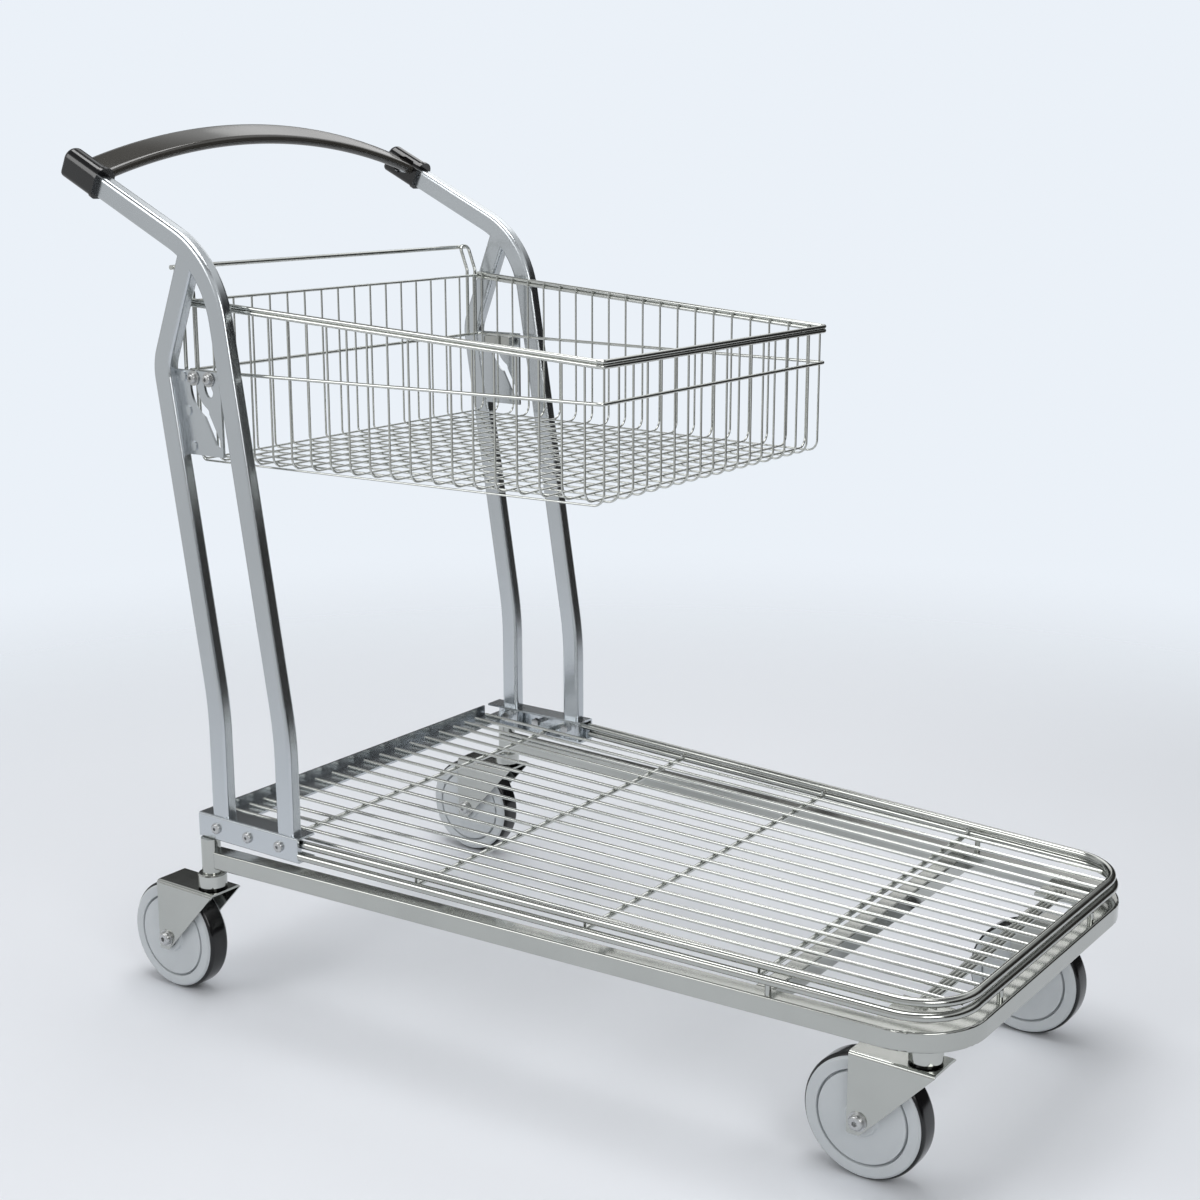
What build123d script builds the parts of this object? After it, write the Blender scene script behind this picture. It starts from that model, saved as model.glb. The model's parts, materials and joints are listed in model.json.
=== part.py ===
from build123d import *
import math
import os

# Garden-centre trolley: a wire deck on a tapered tube chassis with four swivel casters, two pairs of
# bent uprights, an arched push handle, and a wire basket that tips up on studs in slotted plates.
# Millimetres. +X points forward, +Y to the left, +Z up. The origin is on the floor under the middle.

# Casters: wheel, tyre, bearings, axle, fork and swivel head
WHEEL_D = 125.0
WHEEL_WIDTH = 30.0
TYRE_WIDTH = 25.0
TYRE_SEAT_D = 112.0
TYRE_SHOULDER = 4.5
DISC_D = 119.0
DISC_CHAMFER = 1.8
GROOVE_D = 92.8
GROOVE_WIDTH = 3.0
GROOVE_DEPTH = 2.5
HUB_D = 32.0
HUB_WIDTH = 36.0
BEARING_D = 22.0
BEARING_WIDTH = 7.0
AXLE_D = 10.0
AXLE_HEAD_D = 15.5
AXLE_HEAD_HEIGHT = 5.0
AXLE_SOCKET = 6.0
AXLE_WASHER_D = 19.0
AXLE_WASHER_THICK = 1.2
AXLE_NUT_ACROSS = 17.0
AXLE_NUT_HEIGHT = 7.0
SPACER_D = 15.0
RUNNING_FIT = 0.05
FORK_SHEET = 2.5
FORK_GAP = 40.0
FORK_OVER_WHEEL = 5.0
FORK_BEND = 4.0
FORK_TAIL = 11.5
FORK_NOSE = 19.5
FORK_NOSE_DEPTH = 3.0
FORK_CHIN = 14.0
FORK_FOOT = 2.0
FORK_CORNER = 2.5
CASTER_TRAIL = 55.0
HEAD_D = 32.0
HEAD_HEIGHT = 17.5
HEAD_NECK_D = 27.0
HEAD_NECK_HEIGHT = 2.5
HEAD_CHAMFER = 1.5
HEAD_PLAY = 0.3
STEM_D = 12.0
STEM_FOOT_D = 22.0
STEM_FOOT_HEIGHT = 2.0
STEM_FOOT_PLAY = 0.2
SLEEVE_D = 21.5

# Width: the middle plane of the uprights on each side sets every other width
UPRIGHT_Y = 257.5

# Chassis tube
TUBE = 20.0
TUBE_WALL = 1.5
TUBE_CORNER = 2.0
CHASSIS_LIFT = 23.4
CHASSIS_INSET = 6.3
CHASSIS_TAPER = 3.14
CHASSIS_FRONT = 525.5
CHASSIS_BEND = 62.0
CROSS_MEMBER_BACK = 196.0
REAR_STEM_X = -349.5
REAR_STEM_OUT = 4.1
FRONT_STEM_BACK = 45.0
FRONT_STEM_Y_INSET = 74.5
PLATE_THICK = 3.0
PLATE_DROP = 2.0
PLATE_LENGTH = 65.0
PLATE_INNER = 33.0
RIB_BAR_BACK = 62.0
RIB_WIDTH = 4.5
RIB_COUNT = 3
RIB_WEB = 1.4

# Deck: two rim rods, fanned long wires, cross rods, rear angle
DECK_RISE = 31.1
DECK_TILT = 0.74
DECK_TAPER = 3.65
RIM_ROD_D = 9.0
LONG_WIRE_D = 4.0
CROSS_ROD_D = 5.5
STUB_D = 2.9
UPPER_RIM_INSET = 12.07
LOWER_RIM_INSET = 6.07
UPPER_RIM_SETBACK = 9.2
LOWER_RIM_SETBACK = 8.1
DECK_BEND = 60.0
DECK_FAN_WIRES = 6
DECK_EDGE_WIRES = 3
DECK_FAN_REAR = 28.3
DECK_FAN_FRONT = 21.85
DECK_EDGE_PITCH = 22.0
DECK_WIRE_REAR = -361.0
CROSS_ROD_X = (-262.5, -63.5, 140.5, 329.5)
STANDOFF_D = 6.0
STANDOFF_FRONT_Y = 110.0
ANGLE_SHEET = 2.5
ANGLE_WIDTH = 36.0
ANGLE_HEIGHT = 13.0
ANGLE_REAR = -372.0
ANGLE_NUT_CLEAR = 0.5
ANGLE_TONGUE = 15.0
ANGLE_FROM_BRACKET = 1.0

# Side brackets, uprights and their bolts
BRACKET_RISE = 14.6
BRACKET_HEIGHT = 28.0
BRACKET_DEPTH = 26.0
BRACKET_SHEET = 2.5
BRACKET_REAR = -362.5
BRACKET_LENGTH = 149.6
BRACKET_EDGE = 2.0
BOLT_X = (-335.5, -287.5, -240.5)
BOLT_RISE = 14.0
BOLT_D = 6.0
BOLT_HEAD_D = 12.0
BOLT_HEAD_HEIGHT = 3.6
BOLT_SOCKET = 4.0
NUT_ACROSS = 10.0
NUT_HEIGHT = 5.0
UPRIGHT_DEPTH = 24.0
UPRIGHT_WIDTH = 16.0
UPRIGHT_CORNER = 4.5
UPRIGHT_WALL = 1.5
FRONT_FOOT_X = -234.5
FRONT_LOW_RISE = 133.5
FRONT_HIGH_RISE = 622.5
FRONT_LEAN = 77.7
GRIP_REACH = 192.1
GRIP_RISE = 91.5
REAR_FOOT_X = -332.5
REAR_LOW_RISE = 148.5
REAR_HIGH_RISE = 515.5
REAR_LEAN = 57.6
REAR_TOP_FORWARD = 49.6
REAR_TOP_RISE = 124.0
LOW_BEND = 400.0
FRONT_HIGH_BEND = 110.0
REAR_HIGH_BEND = 50.0

# Push handle
CAP_LENGTH = 54.9
CAP_HEIGHT = 32.5
CAP_WIDTH = 25.0
CAP_RAISE = 2.75
CAP_TOP_ROUND = 12.0
CAP_BOTTOM_ROUND = 5.5
CAP_END_ROUND = 5.0
CAP_LIP = 4.0
CAP_LIP_PROUD = 1.2
CAP_COVER = 36.0
BAR_WIDTH = 31.0
BAR_HEIGHT = 20.0
BAR_ARCH = 40.5
BAR_CORNER = 9.0
BAR_OVER_AXIS = 4.0
BAR_IN_CAP = 22.0

# Hinge of the basket
PIVOT_BACK = 84.5
PIVOT_RISE = 496.5
HINGE_SWING = 72.0
STUD_REACH = (12.0, 32.9)
STUD_ANGLE = (143.8, 167.5)
STUD_SHANK_D = 7.0
STUD_BOSS_D = 12.5
STUD_HEAD_D = 11.0
STUD_HEAD_HEIGHT = 4.5
STUD_SOCKET = 4.0
WASHER_D = 16.0
WASHER_THICK = 1.2
HINGE_PLATE = 3.0
HINGE_PLATE_INSET = 6.5
HINGE_PLATE_UP = 15.0
HINGE_PLATE_DOWN = 74.0
SLOT_WIDTH = 10.4
TAIL_WIDTH = 8.0
TAIL_REACH = 60.0
TAIL_ANGLE = 270.5
TAB_LENGTH = 14.0
TAB_HEIGHT = 10.0
TAB_THICK = 1.5
TAB_RISE = (8.0, -28.0, -65.0)
SIDE_PLAY = 0.5
HEAD_SIDE_PLAY = 0.3
LUG_THICK = 3.4
LUG_LENGTH = 40.0
LUG_HEIGHT = 12.0
BOSS_LENGTH = 6.2

# Basket
WIRE_D = 2.2
BASKET_RIM_D = 4.5
RING_D = 3.6
BACK_RIM_D = 3.0
BACK_BAR_D = 5.0
HAIRPIN_D = 4.0
BASKET_LENGTH = 506.8
BASKET_BEHIND_PIVOT = 48.5
BASKET_TAPER = 3.742
LUG_TO_WIRES = 0.4
CROSS_WIRES = 20
CROSS_WIRE_PITCH = 25.4
LONG_WIRES = 18
LONG_SPACING_BACK = 27.2
LONG_SPACING_FRONT = 23.9
FLOOR_DROP = 84.0
RING_RISE = 12.9
RIM_RISE_BACK = 85.0
RIM_RISE_FRONT = 50.0
FLOOR_BEND = 12.0
FLOOR_BEND_BACK = 6.0
RING_BEND = 6.0
HAIRPIN_WIDTH = 15.0
HAIRPIN_INSET = 2.0
HAIRPIN_RISE = 121.0
HAIRPIN_LEAN = 11.0
HAIRPIN_STRAIGHT = 92.0
HAIRPIN_LEAN_BEND = 12.0
HAIRPIN_TOP_BEND = 7.0
BACK_BAR_OVERHANG = 3.0

# Heights and places that follow from the driving sizes
AXLE_Z = WHEEL_D / 2
FORK_TOP = WHEEL_D + FORK_OVER_WHEEL
HEAD_TOP = FORK_TOP + HEAD_HEIGHT
SLEEVE_BOTTOM = HEAD_TOP + HEAD_PLAY
CHASSIS_BOTTOM = FORK_TOP + CHASSIS_LIFT
CHASSIS_TOP = CHASSIS_BOTTOM + TUBE
CHASSIS_MIDDLE = CHASSIS_BOTTOM + TUBE / 2
PLATE_TOP = CHASSIS_TOP - PLATE_DROP
DECK_Z = CHASSIS_TOP + DECK_RISE
BRACKET_BOTTOM = CHASSIS_TOP + BRACKET_RISE
BRACKET_TOP = BRACKET_BOTTOM + BRACKET_HEIGHT
FOOT_Z = BRACKET_BOTTOM + BRACKET_SHEET
BOLT_Z = BRACKET_BOTTOM + BOLT_RISE
BRACKET_Y = UPRIGHT_Y + UPRIGHT_WIDTH / 2
BRACKET_FRONT = BRACKET_REAR + BRACKET_LENGTH
BRACKET_LIP_Y = BRACKET_Y + BRACKET_SHEET - BRACKET_DEPTH
UPRIGHT_INNER_Y = UPRIGHT_Y - UPRIGHT_WIDTH / 2
FRONT_STEM_X = CHASSIS_FRONT - FRONT_STEM_BACK
FRONT_STEM_Y = UPRIGHT_Y - FRONT_STEM_Y_INSET
PIVOT_X = FRONT_FOOT_X - PIVOT_BACK
PIVOT_Z = FOOT_Z + PIVOT_RISE
LUG_OUTER_Y = UPRIGHT_Y - HINGE_PLATE_INSET - SIDE_PLAY - BOSS_LENGTH
LUG_INNER_Y = LUG_OUTER_Y - LUG_THICK
BASKET_BACK = PIVOT_X - BASKET_BEHIND_PIVOT
BASKET_FRONT = BASKET_BACK + BASKET_LENGTH
FLOOR_Z = PIVOT_Z - FLOOR_DROP
RING_Z = PIVOT_Z + RING_RISE
SIDES = {"left": 1, "right": -1}

os.makedirs("parts", exist_ok=True)


def save(part, name):
    """Label one finished piece and write its STEP file."""
    part.label = name
    export_step(part, f"parts/{name}.step")


def bent_rod(points, radii, diameter, close=False):
    """A round rod along straight runs joined by tangent arcs, one radius for each corner."""
    with BuildPart() as rod:
        with BuildLine() as route:
            FilletPolyline(*points, radius=radii, close=close)
        with BuildSketch(Plane(origin=route.line @ 0, z_dir=route.line % 0)):
            Circle(diameter / 2)
        sweep(path=route.line)
    return rod.part


def straight_rod(start, end, diameter):
    """A round rod from one point to another."""
    run = Vector(*end) - Vector(*start)
    with BuildPart() as rod:
        with BuildSketch(Plane(origin=start, z_dir=run.normalized())):
            Circle(diameter / 2)
        extrude(amount=run.length)
    return rod.part


def ring(outer, inner, height):
    """A flat ring standing on the XY plane."""
    with BuildPart() as washer:
        with BuildSketch():
            Circle(outer / 2)
            Circle(inner / 2, mode=Mode.SUBTRACT)
        extrude(amount=height)
    return washer.part


def button_bolt(shank, length, head, head_height, socket):
    """A button-head bolt whose head rests on the XY plane and whose shank hangs below it."""
    with BuildPart() as bolt:
        with BuildSketch():
            Circle(head / 2)
        extrude(amount=head_height)
        fillet(bolt.edges().group_by(Axis.Z)[-1], head_height * 0.6)
        with BuildSketch(Plane.XY.offset(head_height)):
            RegularPolygon(socket / 2, 6)
        extrude(amount=-head_height * 0.6, mode=Mode.SUBTRACT)
        with BuildSketch():
            Circle(shank / 2)
        extrude(amount=-length)
    return bolt.part


def hex_nut(across, bore, height):
    """A hexagon nut standing on the XY plane."""
    with BuildPart() as nut:
        with BuildSketch():
            RegularPolygon(across / 2, 6, major_radius=False)
            Circle(bore / 2, mode=Mode.SUBTRACT)
        extrude(amount=height)
    return nut.part


def facing(x, y, z, side):
    """The location of a fastener whose axis runs along Y and whose head points to one side."""
    return Plane(origin=(x, y, z), z_dir=(0, side, 0)).location


# ---------------------------------------------------------------- chassis


def rail_y(x):
    """Distance of a chassis rail's centre-line from the middle plane."""
    outer = UPRIGHT_Y - CHASSIS_INSET - x * math.tan(math.radians(CHASSIS_TAPER))
    return outer - TUBE / 2


def rail_inner_plane(side):
    """The plane of a rail's inner face, facing outwards."""
    lean = math.radians(CHASSIS_TAPER)
    face = Vector(math.sin(lean), side * math.cos(lean), 0)
    origin = Vector(0, side * rail_y(0), CHASSIS_MIDDLE) - face * (TUBE / 2)
    return Plane(origin=origin, z_dir=face)


REAR_STEM_Y = rail_y(REAR_STEM_X) + REAR_STEM_OUT
STEMS = {
    "rear_left": (REAR_STEM_X, REAR_STEM_Y),
    "rear_right": (REAR_STEM_X, -REAR_STEM_Y),
    "front_left": (FRONT_STEM_X, FRONT_STEM_Y),
    "front_right": (FRONT_STEM_X, -FRONT_STEM_Y),
}
SLEEVE_TOPS = {
    "rear_left": BRACKET_BOTTOM,
    "rear_right": BRACKET_BOTTOM,
    "front_left": PLATE_TOP - PLATE_THICK,
    "front_right": PLATE_TOP - PLATE_THICK,
}

front_x = CHASSIS_FRONT - TUBE / 2
corner_y = rail_y(front_x)
with BuildPart() as chassis_frame:
    with BuildLine() as frame_route:
        FilletPolyline(
            (REAR_STEM_X, rail_y(REAR_STEM_X), CHASSIS_MIDDLE),
            (front_x, corner_y, CHASSIS_MIDDLE),
            (front_x, -corner_y, CHASSIS_MIDDLE),
            (REAR_STEM_X, -rail_y(REAR_STEM_X), CHASSIS_MIDDLE),
            radius=CHASSIS_BEND,
        )
    with BuildSketch(Plane(origin=frame_route.line @ 0, x_dir=(0, 0, 1), z_dir=frame_route.line % 0)):
        RectangleRounded(TUBE, TUBE, TUBE_CORNER)
        Rectangle(TUBE - 2 * TUBE_WALL, TUBE - 2 * TUBE_WALL, mode=Mode.SUBTRACT)
    sweep(path=frame_route.line)
    with BuildSketch(Plane.XY.offset(CHASSIS_BOTTOM)):
        with Locations((REAR_STEM_X, REAR_STEM_Y), (REAR_STEM_X, -REAR_STEM_Y)):
            Circle(SLEEVE_D / 2)
    extrude(amount=TUBE, mode=Mode.SUBTRACT)
save(chassis_frame.part, "chassis_frame")

cross_x = CHASSIS_FRONT - CROSS_MEMBER_BACK
with BuildPart() as front_cross_member:
    with BuildSketch(Plane.XZ):
        with Locations((cross_x, CHASSIS_MIDDLE)):
            RectangleRounded(TUBE, TUBE, TUBE_CORNER)
            Rectangle(TUBE - 2 * TUBE_WALL, TUBE - 2 * TUBE_WALL, mode=Mode.SUBTRACT)
    extrude(amount=UPRIGHT_Y, both=True)
    split(bisect_by=rail_inner_plane(1), keep=Keep.BOTTOM)
    split(bisect_by=rail_inner_plane(-1), keep=Keep.BOTTOM)
save(front_cross_member.part, "front_cross_member")


def rail_inside_y(x):
    """Distance of a rail's inner face from the middle plane."""
    return rail_y(x) - TUBE / 2 / math.cos(math.radians(CHASSIS_TAPER))


def caster_plate(side):
    """A corner plate welded inside a front bend of the chassis, over a caster sleeve."""
    front = CHASSIS_FRONT - TUBE
    rear = front - PLATE_LENGTH
    inner = FRONT_STEM_Y - PLATE_INNER
    with BuildPart() as plate:
        with BuildSketch(Plane.XY.offset(PLATE_TOP)) as outline:
            Polygon(
                (rear, inner),
                (front, inner),
                (front, rail_inside_y(front)),
                (rear, rail_inside_y(rear)),
                align=None,
            )
            bend = outline.vertices().sort_by(Axis.X)[-2:].sort_by(Axis.Y)[-1]
            fillet(bend, CHASSIS_BEND - TUBE / 2)
        extrude(amount=-PLATE_THICK)
    return plate.part if side > 0 else mirror(plate.part, about=Plane.XZ)


with BuildPart() as front_caster_plates:
    add([caster_plate(1), caster_plate(-1)])
save(front_caster_plates.part, "front_caster_plates")

rib_x = CHASSIS_FRONT - RIB_BAR_BACK
rib_half = FRONT_STEM_Y - PLATE_INNER + RIB_WIDTH * RIB_COUNT
with BuildPart() as front_rib_bar:
    with BuildSketch(Plane.XZ.offset(-rib_half)):
        with Locations((rib_x, PLATE_TOP + RIB_WEB / 2)):
            Rectangle(RIB_WIDTH * RIB_COUNT, RIB_WEB)
        with Locations((rib_x, PLATE_TOP + RIB_WEB)):
            with GridLocations(RIB_WIDTH, 0, RIB_COUNT, 1):
                Circle(RIB_WIDTH / 2)
        with Locations((rib_x, PLATE_TOP - RIB_WIDTH)):
            Rectangle(RIB_WIDTH * (RIB_COUNT + 1), 2 * RIB_WIDTH, mode=Mode.SUBTRACT)
    extrude(amount=2 * rib_half)
save(front_rib_bar.part, "front_rib_bar")


def stem_sleeve(name):
    """A welded tube that holds one caster stem, closed at its top by a plug."""
    x, y = STEMS[name]
    height = SLEEVE_TOPS[name] - SLEEVE_BOTTOM
    with BuildPart() as sleeve:
        with BuildSketch(Plane(origin=(x, y, SLEEVE_BOTTOM))):
            Circle(SLEEVE_D / 2)
        extrude(amount=height)
        with BuildSketch(Plane(origin=(x, y, SLEEVE_BOTTOM))):
            Circle(STEM_D / 2)
        extrude(amount=height - PLATE_THICK, mode=Mode.SUBTRACT)
    return sleeve.part


def caster_stem(name):
    """A swivel stem: a round pin in its sleeve, with a flange under the fork's top plate."""
    x, y = STEMS[name]
    foot = FORK_TOP - FORK_SHEET - STEM_FOOT_PLAY - STEM_FOOT_HEIGHT
    with BuildPart() as stem:
        with BuildSketch(Plane(origin=(x, y, foot))):
            Circle(STEM_FOOT_D / 2)
        extrude(amount=STEM_FOOT_HEIGHT)
        with BuildSketch(Plane(origin=(x, y, foot))):
            Circle(STEM_D / 2)
        extrude(amount=SLEEVE_TOPS[name] - PLATE_THICK - foot)
    return stem.part


with BuildPart() as stem_sleeves:
    add([stem_sleeve(name) for name in STEMS])
save(stem_sleeves.part, "stem_sleeves")

with BuildPart() as caster_stems:
    add([caster_stem(name) for name in STEMS])
save(caster_stems.part, "caster_stems")

# ---------------------------------------------------------------- casters


def fork(x, y):
    """A pressed fork: a top plate with two cheeks, drilled for the stem and the axle."""
    axle_x = x - CASTER_TRAIL
    nose = x + FORK_NOSE
    outer = FORK_GAP / 2 + FORK_SHEET
    with BuildPart() as pressed:
        with BuildSketch(Plane.XZ.offset(-y - outer)) as cheek:
            Polygon(
                (axle_x - FORK_TAIL, FORK_TOP),
                (axle_x - FORK_TAIL, AXLE_Z - FORK_CHIN),
                (axle_x + FORK_FOOT, AXLE_Z - FORK_CHIN),
                (nose, FORK_TOP - FORK_NOSE_DEPTH),
                (nose, FORK_TOP),
                align=None,
            )
            fillet(cheek.vertices().group_by(Axis.Y)[0], FORK_CORNER)
        extrude(amount=2 * outer)
        fillet(pressed.edges().filter_by(Axis.X).group_by(Axis.Z)[-1], FORK_BEND)
        with BuildSketch(Plane(origin=(x, y, 0))):
            Rectangle(3 * WHEEL_D, FORK_GAP)
        extrude(amount=FORK_TOP - FORK_SHEET, mode=Mode.SUBTRACT)
        with BuildSketch(Plane(origin=(x, y, FORK_TOP))):
            Circle(STEM_D / 2 + RUNNING_FIT)
        extrude(amount=-FORK_SHEET, mode=Mode.SUBTRACT)
        with BuildSketch(Plane.XZ.offset(-y - outer)):
            with Locations((axle_x, AXLE_Z)):
                Circle(AXLE_D / 2)
        extrude(amount=2 * outer, mode=Mode.SUBTRACT)
    return pressed.part


def swivel_head(x, y):
    """The turned bearing housing on top of a fork, running on the stem."""
    bore = STEM_D / 2 + RUNNING_FIT
    with BuildPart() as head:
        with BuildSketch(Plane(origin=(x, y, FORK_TOP))):
            Circle(HEAD_NECK_D / 2)
        extrude(amount=HEAD_HEIGHT)
        with BuildSketch(Plane(origin=(x, y, FORK_TOP + HEAD_NECK_HEIGHT))):
            Circle(HEAD_D / 2)
        extrude(amount=HEAD_HEIGHT - HEAD_NECK_HEIGHT)
        chamfer(head.edges().group_by(Axis.Z)[-1], HEAD_CHAMFER)
        with BuildSketch(Plane(origin=(x, y, FORK_TOP))):
            Circle(bore)
        extrude(amount=HEAD_HEIGHT, mode=Mode.SUBTRACT)
    return head.part


def axle(x, y):
    """An axle bolt with its washer, nut and two spacers beside the wheel hub."""
    outer = FORK_GAP / 2 + FORK_SHEET
    reach = 2 * outer + AXLE_WASHER_THICK + AXLE_NUT_HEIGHT
    spacer = (FORK_GAP - HUB_WIDTH) / 2 - HEAD_PLAY
    near = y - outer
    far = y + outer
    bolt = button_bolt(AXLE_D, reach, AXLE_HEAD_D, AXLE_HEAD_HEIGHT, AXLE_SOCKET)
    with BuildPart() as pin:
        add(facing(x, near - AXLE_WASHER_THICK, AXLE_Z, -1) * bolt)
        add(facing(x, near, AXLE_Z, -1) * ring(AXLE_WASHER_D, AXLE_D, AXLE_WASHER_THICK))
        add(facing(x, far, AXLE_Z, 1) * hex_nut(AXLE_NUT_ACROSS, AXLE_D, AXLE_NUT_HEIGHT))
        add(facing(x, y - FORK_GAP / 2, AXLE_Z, 1) * ring(SPACER_D, AXLE_D, spacer))
        add(facing(x, y + FORK_GAP / 2, AXLE_Z, -1) * ring(SPACER_D, AXLE_D, spacer))
    return pin.part


def wheel_core(x, y):
    """The moulded wheel centre: two grooved faces, a tyre seat and a hub bored for two bearings."""
    half = WHEEL_WIDTH / 2
    hub_half = HUB_WIDTH / 2
    with BuildPart() as core:
        with BuildSketch(Plane(origin=(x, y, AXLE_Z), x_dir=(1, 0, 0), z_dir=(0, 0, 1))):
            with BuildLine():
                Polyline(
                    (AXLE_D, -hub_half),
                    (HUB_D / 2, -hub_half),
                    (HUB_D / 2, -half),
                    (GROOVE_D / 2 - GROOVE_WIDTH / 2, -half),
                    (GROOVE_D / 2, -half + GROOVE_DEPTH),
                    (GROOVE_D / 2 + GROOVE_WIDTH / 2, -half),
                    (DISC_D / 2 - DISC_CHAMFER, -half),
                    (DISC_D / 2, -half + DISC_CHAMFER),
                    (DISC_D / 2, -TYRE_WIDTH / 2),
                    (TYRE_SEAT_D / 2, -TYRE_WIDTH / 2),
                    (TYRE_SEAT_D / 2, 0),
                    (AXLE_D, 0),
                    close=True,
                )
            make_face()
            mirror(about=Plane.XZ)
        revolve(axis=Axis((x, y, AXLE_Z), (0, 1, 0)))
        with BuildSketch(Plane(origin=(x, y - hub_half, AXLE_Z), z_dir=(0, 1, 0))):
            Circle(BEARING_D / 2)
        extrude(amount=BEARING_WIDTH, mode=Mode.SUBTRACT)
        with BuildSketch(Plane(origin=(x, y + hub_half, AXLE_Z), z_dir=(0, -1, 0))):
            Circle(BEARING_D / 2)
        extrude(amount=BEARING_WIDTH, mode=Mode.SUBTRACT)
    return core.part


def tyre(x, y):
    """A solid rubber tyre in the seat of the wheel centre."""
    with BuildPart() as rubber:
        with BuildSketch(Plane(origin=(x, y - TYRE_WIDTH / 2, AXLE_Z), z_dir=(0, 1, 0))):
            Circle(WHEEL_D / 2)
        extrude(amount=TYRE_WIDTH)
        fillet(rubber.edges(), TYRE_SHOULDER)
        with BuildSketch(Plane(origin=(x, y - TYRE_WIDTH / 2, AXLE_Z), z_dir=(0, 1, 0))):
            Circle(TYRE_SEAT_D / 2)
        extrude(amount=TYRE_WIDTH, mode=Mode.SUBTRACT)
    return rubber.part


def wheel_bearings(x, y):
    """Two ball bearings, as plain rings, pressed into the hub and running on the axle."""
    bore = AXLE_D + 2 * RUNNING_FIT
    with BuildPart() as pair:
        add(facing(x, y - HUB_WIDTH / 2, AXLE_Z, 1) * ring(BEARING_D, bore, BEARING_WIDTH))
        add(facing(x, y + HUB_WIDTH / 2, AXLE_Z, -1) * ring(BEARING_D, bore, BEARING_WIDTH))
    return pair.part


for corner, (stem_x, stem_y) in STEMS.items():
    wheel_x = stem_x - CASTER_TRAIL
    save(fork(stem_x, stem_y), f"fork_{corner}")
    save(swivel_head(stem_x, stem_y), f"swivel_head_{corner}")
    save(axle(wheel_x, stem_y), f"axle_{corner}")
    save(wheel_core(wheel_x, stem_y), f"wheel_core_{corner}")
    save(tyre(wheel_x, stem_y), f"tyre_{corner}")
    save(wheel_bearings(wheel_x, stem_y), f"wheel_bearings_{corner}")

# ---------------------------------------------------------------- deck

tilt = math.radians(DECK_TILT)
along_deck = (math.cos(tilt), 0, -math.sin(tilt))
up_from_deck = (math.sin(tilt), 0, math.cos(tilt))
DECK = Plane(origin=(0, 0, DECK_Z), x_dir=along_deck, z_dir=up_from_deck)
WIRE_DROP = (RIM_ROD_D + LONG_WIRE_D) / 2
LOWER_DROP = WIRE_DROP + (LONG_WIRE_D + CROSS_ROD_D) / 2


def on_deck(x, y, drop):
    """A point of the tilted deck, given along it, across it and below the upper rim rod's axis."""
    return DECK.from_local_coords(Vector(x, y, -drop))


def rim_y(x, inset):
    """Distance of a deck rim rod's axis from the middle plane."""
    return UPRIGHT_Y - inset - x * math.tan(math.radians(DECK_TAPER))


def deck_rim(rear, front, inset, drop):
    """A U-shaped rim rod round the sides and front of the deck."""
    points = [
        on_deck(rear, rim_y(rear, inset), drop),
        on_deck(front, rim_y(front, inset), drop),
        on_deck(front, -rim_y(front, inset), drop),
        on_deck(rear, -rim_y(rear, inset), drop),
    ]
    return bent_rod(points, [DECK_BEND, DECK_BEND], RIM_ROD_D)


upper_front = CHASSIS_FRONT - UPPER_RIM_SETBACK
lower_front = CHASSIS_FRONT - LOWER_RIM_SETBACK
front_foot_face = FRONT_FOOT_X + UPRIGHT_DEPTH / 2
save(deck_rim(front_foot_face, upper_front, UPPER_RIM_INSET, 0), "deck_upper_rim")
save(deck_rim(BRACKET_FRONT, lower_front, LOWER_RIM_INSET, LOWER_DROP), "deck_lower_rim")


def wire_line(place):
    """A long wire's distance from the middle at its rear end, and how far it fans out per millimetre."""
    edge = max(place - DECK_FAN_WIRES, 0) * DECK_EDGE_PITCH
    rear = min(place, DECK_FAN_WIRES) * DECK_FAN_REAR + edge
    front = min(place, DECK_FAN_WIRES) * DECK_FAN_FRONT + edge
    return rear, (front - rear) / (upper_front - DECK_WIRE_REAR)


def wire_end(place):
    """Where a long wire ends, just under the axis of the upper rim rod."""
    rear, slope = wire_line(place)
    start = rear - slope * DECK_WIRE_REAR
    lap = RIM_ROD_D * 0.3
    straight = upper_front - lap
    lean = math.radians(DECK_TAPER)
    swing = DECK_BEND * math.tan((math.pi / 2 - lean) / 2)
    bend_y = rim_y(upper_front, UPPER_RIM_INSET) - swing
    bend_x = upper_front - DECK_BEND
    if start + slope * straight <= bend_y:
        return straight
    a = 1 + slope**2
    b = slope * (start - bend_y) - bend_x
    c = bend_x**2 + (start - bend_y) ** 2 - (DECK_BEND - lap) ** 2
    return (math.sqrt(b**2 - a * c) - b) / a


def deck_wire(place, side):
    """One long wire, counted from the middle of the deck."""
    rear, slope = wire_line(place)
    end_x = wire_end(place)
    end = rear + slope * (end_x - DECK_WIRE_REAR)
    return straight_rod(
        on_deck(DECK_WIRE_REAR, side * rear, WIRE_DROP), on_deck(end_x, side * end, WIRE_DROP), LONG_WIRE_D
    )


outer_places = range(1, DECK_FAN_WIRES + DECK_EDGE_WIRES + 1)
with BuildPart() as deck_long_wires:
    add(deck_wire(0, 1))
    add([deck_wire(place, side) for place in outer_places for side in SIDES.values()])
save(deck_long_wires.part, "deck_long_wires")


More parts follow.
